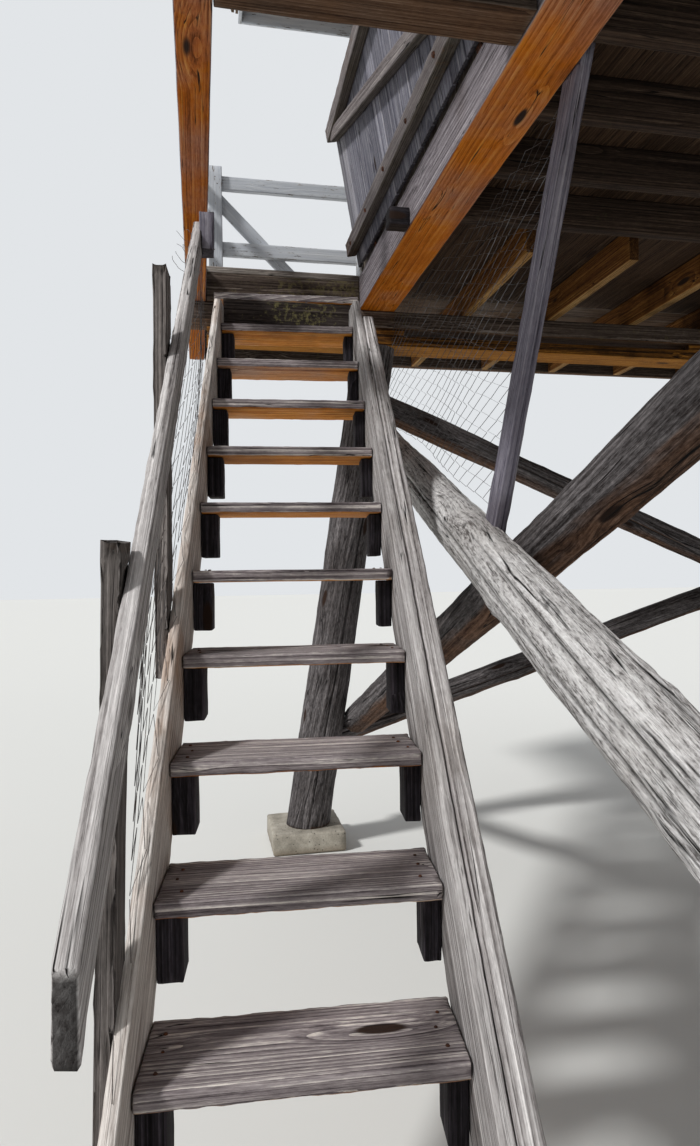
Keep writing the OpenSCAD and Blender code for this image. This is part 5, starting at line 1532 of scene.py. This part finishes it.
def setFasteners():
    treadNails, railNails = [], []
    rng = random.Random(8)
    for part in islandsOf("treads"):
        axes = timberAxes(part)
        top = axes["thin"] if axes["thin"].z > 0 else -axes["thin"]
        for end in (-1, 1):
            for share in (-0.55, 0.0, 0.5):
                spot = (axes["centre"] + axes["along"] * end * (axes["half"][0] - rng.uniform(0.035, 0.055))
                    + axes["across"] * axes["half"][1] * (share + rng.uniform(-0.06, 0.06)) + top * axes["half"][2])
                treadNails.append((spot, top))
        part.free()
    for nodeName in ("railing_left", "railing_back", "railing_right", "railing_front"):
        low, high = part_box(nodeName)
        alongX = (high - low).x > (high - low).y
        way, side = (boardX, boardY) if alongX else (boardY, boardX)
        middle = (low + high) / 2
        length = (high - low).dot(way)
        bay = (length - railing["post"]) / railing["bays"]
        for k in range(railing["bays"] + 1):
            for top in (railing["height"], railing["middle"]):
                for dz in (0.022, 0.066):
                    for turn in (-1, 1):
                        post = middle.dot(way) - length / 2 + railing["post"] / 2 + k * bay
                        spot = (way * (post + rng.uniform(-0.02, 0.02))
                            + side * (middle.dot(side) + turn * railing["post"] / 2) + boardZ * (low.z + top - dz))
                        railNails.append((spot, side * turn))
    setHeads("tread_nails", treadNails, *fasteners["treadNail"], "tower")
    setHeads("railing_nails", railNails, *fasteners["railNail"], "tower")
    hatchBolts, hatchNails = [], []
    hatchLow = [hatchBack @ v.co for v in cadNodes["hatch_boards"].data.vertices]
    hatchNear, hatchFar = min(p.y for p in hatchLow), max(p.y for p in hatchLow)
    hatchUnder, hatchTop = min(p.z for p in hatchLow), max(p.z for p in hatchLow)
    railMid = max(p.x for p in hatchLow) - hatch["railIn"] - hatch["railWidth"] / 2
    upWay = hatchTurn.to_3x3() @ boardZ
    for k in range(6):
        y = hatchNear + 0.12 + k * (hatchFar - hatchNear - 0.24) / 5
        hatchBolts.append((hatchTurn @ Vector((railMid + rng.uniform(-0.01, 0.01), y, hatchUnder - hatch["railDepth"])),
            -upWay))
    for k in range(16):
        y = hatchNear + 0.06 + k * (hatchFar - hatchNear - 0.12) / 15
        for x in (railMid - 0.015, railMid + 0.02, railMid - 0.62):
            hatchNails.append((hatchTurn @ Vector((x + rng.uniform(-0.008, 0.008), y, hatchTop)), upWay))
    setHeads("hatch_bolts", hatchBolts, *fasteners["hatchBolt"], "hatch", 6)
    setHeads("hatch_nails", hatchNails, *fasteners["hatchNail"], "hatch")


setFasteners()
print("nails and bolts set")

# Diamond wire netting beside the stair and under the sill
netting = {
    "stairCell": (0.11, 0.095),
    "stairWire": 0.0008,
    "stairHeight": 0.92,
    "stairLap": 0.955,      # share of the height at which it turns in over the stringer
    "stairHem": 0.93,       # low down it is left only where it laps over the stringer
    "stairBare": 0.8,       # how far up the stair that goes
    "braceCell": (0.072, 0.056),
    "braceWire": 0.0011,
}


def netTree():
    tree, given = newTree("wireNetting", [("Geometry", "NodeSocketGeometry"), ("Radius", "NodeSocketFloat"),
        ("Finish", "NodeSocketMaterial")])
    strands = addNode(tree, "GeometryNodeMeshToCurve", {"Mesh": given["Geometry"]})
    section = addNode(tree, "GeometryNodeCurvePrimitiveCircle", {"Resolution": 4, "Radius": given["Radius"]})
    drawn = addNode(tree, "GeometryNodeCurveToMesh", {"Curve": strands, "Profile Curve": section, "Fill Caps": True})
    real = addNode(tree, "GeometryNodeRealizeInstances", {"Geometry": drawn})
    return endTree(tree, real, given["Finish"])


wireNetting = netTree()


def diamondNet(name, place, inside, width, height, cell, radius, seed, extra=()):
    # Zigzag strands in a flat strip, carried on to the surface that place(u, v) gives, where inside(u, v) holds
    rng = random.Random(seed)
    across, up = cell
    verts, edges = [], []
    columns, rows = int(width / across), int(height / (up / 2))
    for c in range(columns + 1):
        previous = None
        for r in range(rows + 1):
            swing = across / 2 if (r + c) % 2 else -across / 2
            u = c * across + swing * 0.96 + rng.uniform(-0.003, 0.003)
            v = r * up / 2 + rng.uniform(-0.003, 0.003)
            if inside(u, v):
                verts.append(Vector(place(u, v)) + Vector([rng.uniform(-0.0015, 0.0015) for _ in range(3)]))
                if previous is not None:
                    edges.append((previous, len(verts) - 1))
                previous = len(verts) - 1
            else:
                previous = None
    for line in extra:
        base = len(verts)
        verts.extend(line)
        edges.extend((base + i, base + i + 1) for i in range(len(line) - 1))
    used = sorted({i for edge in edges for i in edge})
    order = {old: new for new, old in enumerate(used)}
    mesh = bpy.data.meshes.new(name + "_strands")
    mesh.from_pydata([verts[i] for i in used], [(order[a], order[b]) for a, b in edges], [])
    obj = runTree(name, wireNetting, {"Radius": radius, "Finish": wire}, mesh)
    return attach(obj, "tower")


def wisp(start, way, length, rng):
    # A torn strand that curls away from its edge
    points, at, heading = [], Vector(start), Vector(way).normalized()
    for _ in range(9):
        points.append(at.copy())
        heading = (heading + Vector([rng.uniform(-0.45, 0.45) for _ in range(3)])).normalized()
        at = at + heading * length / 8
    return points


def atY(line, y):
    start, end = line
    return start + (end - start) * ((y - start.y) / (end.y - start.y))


def stairNet():
    rng = random.Random(17)
    railStart, railEnd, railAxes = lineOf("handrail")
    low, high, axes = lineOf("stringer_left")
    lift = axes["across"] if axes["across"].z > 0 else -axes["across"]
    out = axes["thin"] if axes["thin"].x < 0 else -axes["thin"]
    outer = [p + lift * axes["half"][1] + out * axes["half"][2] for p in (low, high)]
    inner = [p + lift * axes["half"][1] - out * axes["half"][2] for p in (low, high)]
    drop = railAxes["across"] if railAxes["across"].z < 0 else -railAxes["across"]
    rail = [p + drop * railAxes["half"][1] * 0.7 for p in (railStart, railEnd)]
    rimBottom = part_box("side_rims")[0].z
    start, end = railStart.y + 0.06, railEnd.y + 0.42
    slopeRun = (high - low).length / (high.y - low.y)
    width, height, lap = (end - start) * slopeRun, netting["stairHeight"], netting["stairLap"]

    def place(u, v):
        y = start + u / slopeRun
        top = atY(rail, y)
        if top.z > rimBottom:
            top = top - Vector((0, 0, top.z - rimBottom))
        foot = atY(outer, y)
        share = v / height
        if share > lap:
            return foot.lerp(atY(inner, y), min(1.0, (share - lap) / 0.045)) + Vector((0, 0, 0.002))
        point = top.lerp(foot, share / lap)
        sag = 0.018 * math.sin(math.pi * share) * math.sin(u * 3.1 + 0.6)
        return point + Vector((sag, 0, 0))

    def inside(u, v):
        return 0 <= u <= width and (0 if u > netting["stairBare"] else netting["stairHem"] * height) <= v <= height

    wisps = [wisp(atY(rail, railEnd.y - 0.02 - 0.05 * k) + Vector((-0.01, 0, 0.02)),
        (-0.6, -0.1, 0.7 - 0.25 * (k % 3)), rng.uniform(0.05, 0.12), rng) for k in range(6)]
    diamondNet("stair_netting", place, inside, width, height, netting["stairCell"], netting["stairWire"], 3, wisps)


def braceNet():
    head, foot = lineOf("netting_post")[:2]
    if head.z < foot.z:
        head, foot = foot, head
    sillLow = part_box("sills")[0]
    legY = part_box("cap_beams")[1].y - 0.02
    brace = logLine(min(islandsOf("outer_braces"), key=lambda p: sum((v.co.x for v in p.verts)) / len(p.verts)))
    origin, axis = Vector(brace["origin"]), Vector(brace["axis"])
    top = sillLow.z - 0.002

    def braceTop(y):
        point = origin + axis * ((y - origin.y) / axis.y)
        return point.z + brace["radius"] * 0.9

    def postY(z):
        return head.y + (foot.y - head.y) * (head.z - z) / (head.z - foot.z)

    leg = logLine(max(islandsOf("legs"), key=lambda p: sum(v.co.y - v.co.x for v in p.verts) / len(p.verts)))
    legAt, legWay = Vector(leg["origin"]), Vector(leg["axis"])
    base = braceTop(foot.y) - 0.05

    def place(u, v):
        y, z = foot.y - 0.3 + u, base + v
        share = (top - z) / (top - base)
        x = head.x + (foot.x - head.x) * share
        edge = legAt + legWay * ((z - legAt.z) / legWay.z)
        toLeg = min(1.0, max(0.0, (y - 1.2) / 0.7))
        x = x * (1 - toLeg) + (edge.x + 0.06) * toLeg
        return (x + 0.012 * math.sin(u * 5 + v * 3), y, z)

    def inside(u, v):
        y, z = foot.y - 0.3 + u, base + v
        edge = legAt + legWay * ((z - legAt.z) / legWay.z)
        return braceTop(y) - 0.03 < z < top and postY(z) < y < edge.y - 0.05

    diamondNet("brace_netting", place, inside, legY - foot.y + 0.6, top - base, netting["braceCell"],
        netting["braceWire"], 4)


stairNet()
braceNet()
print("netting hung")

# Plain pale floor, pale backdrop and soft light
stageLook = {"floor": "#d6d6d2", "floorReach": 60.0, "backdrop": "#e2e5e8", "light": "#f4f6fa", "world": 0.56,
    "key": 2.9, "fill": 0.4}
floorMaterial, tree = newMaterial("paleFloor")
floorShader = addNode(tree, "ShaderNodeBsdfPrincipled", {"Base Color": linearColour(stageLook["floor"]),
    "Roughness": 0.9, "Specular IOR Level": 0.1})
finishMaterial(tree, floorShader)
floorMesh = bpy.data.meshes.new("floor")
reach = stageLook["floorReach"]
floorMesh.from_pydata([(-reach, -reach, 0), (reach, -reach, 0), (reach, reach, 0), (-reach, reach, 0)], [],
    [(0, 1, 2, 3)])
floorMesh.materials.append(floorMaterial)
floor = newObject("floor", floorMesh)

world = bpy.data.worlds.new("studio")
world.use_nodes = True
bpy.context.scene.world = world
tree = world.node_tree
tree.nodes.clear()
rays = addNode(tree, "ShaderNodeLightPath")
seen = addNode(tree, "ShaderNodeMath", {0: rays.outputs["Is Camera Ray"], 1: rays.outputs["Is Glossy Ray"]},
    operation="MAXIMUM")
seenAny = addNode(tree, "ShaderNodeMath", {0: seen, 1: rays.outputs["Is Transmission Ray"]}, operation="MAXIMUM")
light = addNode(tree, "ShaderNodeBackground", {"Color": linearColour(stageLook["light"]),
    "Strength": stageLook["world"]})
backdrop = addNode(tree, "ShaderNodeBackground", {"Color": linearColour(stageLook["backdrop"]), "Strength": 1.0})
mixed = addNode(tree, "ShaderNodeMixShader", {0: seenAny, 1: light, 2: backdrop})
addNode(tree, "ShaderNodeOutputWorld", {"Surface": mixed})


def addSun(name, towards, strength, spread):
    lamp = bpy.data.lights.new(name, "SUN")
    lamp.energy = strength
    lamp.angle = math.radians(spread)
    obj = newObject(name, lamp)
    obj.rotation_euler = Vector(towards).to_track_quat("-Z", "Y").to_euler()
    return obj


addSun("keyLight", (0.66, 0.30, -0.69), stageLook["key"], 7)
addSun("fillLight", (-0.5, 0.75, -0.25), stageLook["fill"], 50)

# Camera: solved from the stair, the sill and the rims in the photograph
view = {"place": (middleX - 2.9985, -2.0515, 1.576), "yaw": 11.2087, "pitch": 0.1249, "roll": -0.7776,
    "focal": 758.725, "imageWidth": 700}     # focal length and width in the photograph's pixels
yaw, pitch, roll = (math.radians(view[key]) for key in ("yaw", "pitch", "roll"))
forward = Vector((math.sin(yaw) * math.cos(pitch), math.cos(yaw) * math.cos(pitch), math.sin(pitch)))
level = Vector((math.cos(yaw), -math.sin(yaw), 0))
upright = level.cross(forward)
right = level * math.cos(roll) + upright * math.sin(roll)
above = -level * math.sin(roll) + upright * math.cos(roll)
cameraData = bpy.data.cameras.new("camera")
cameraData.sensor_width = 36.0
cameraData.sensor_fit = "HORIZONTAL"
cameraData.lens = view["focal"] / view["imageWidth"] * cameraData.sensor_width
cameraData.clip_start = 0.05
cameraData.clip_end = 300.0
camera = newObject("camera", cameraData)
placement = Matrix((right, above, -forward)).transposed().to_4x4()
placement.translation = Vector(view["place"])
camera.matrix_world = placement
bpy.context.scene.camera = camera
bpy.context.scene.view_settings.view_transform = "Standard"

print("scene ready")
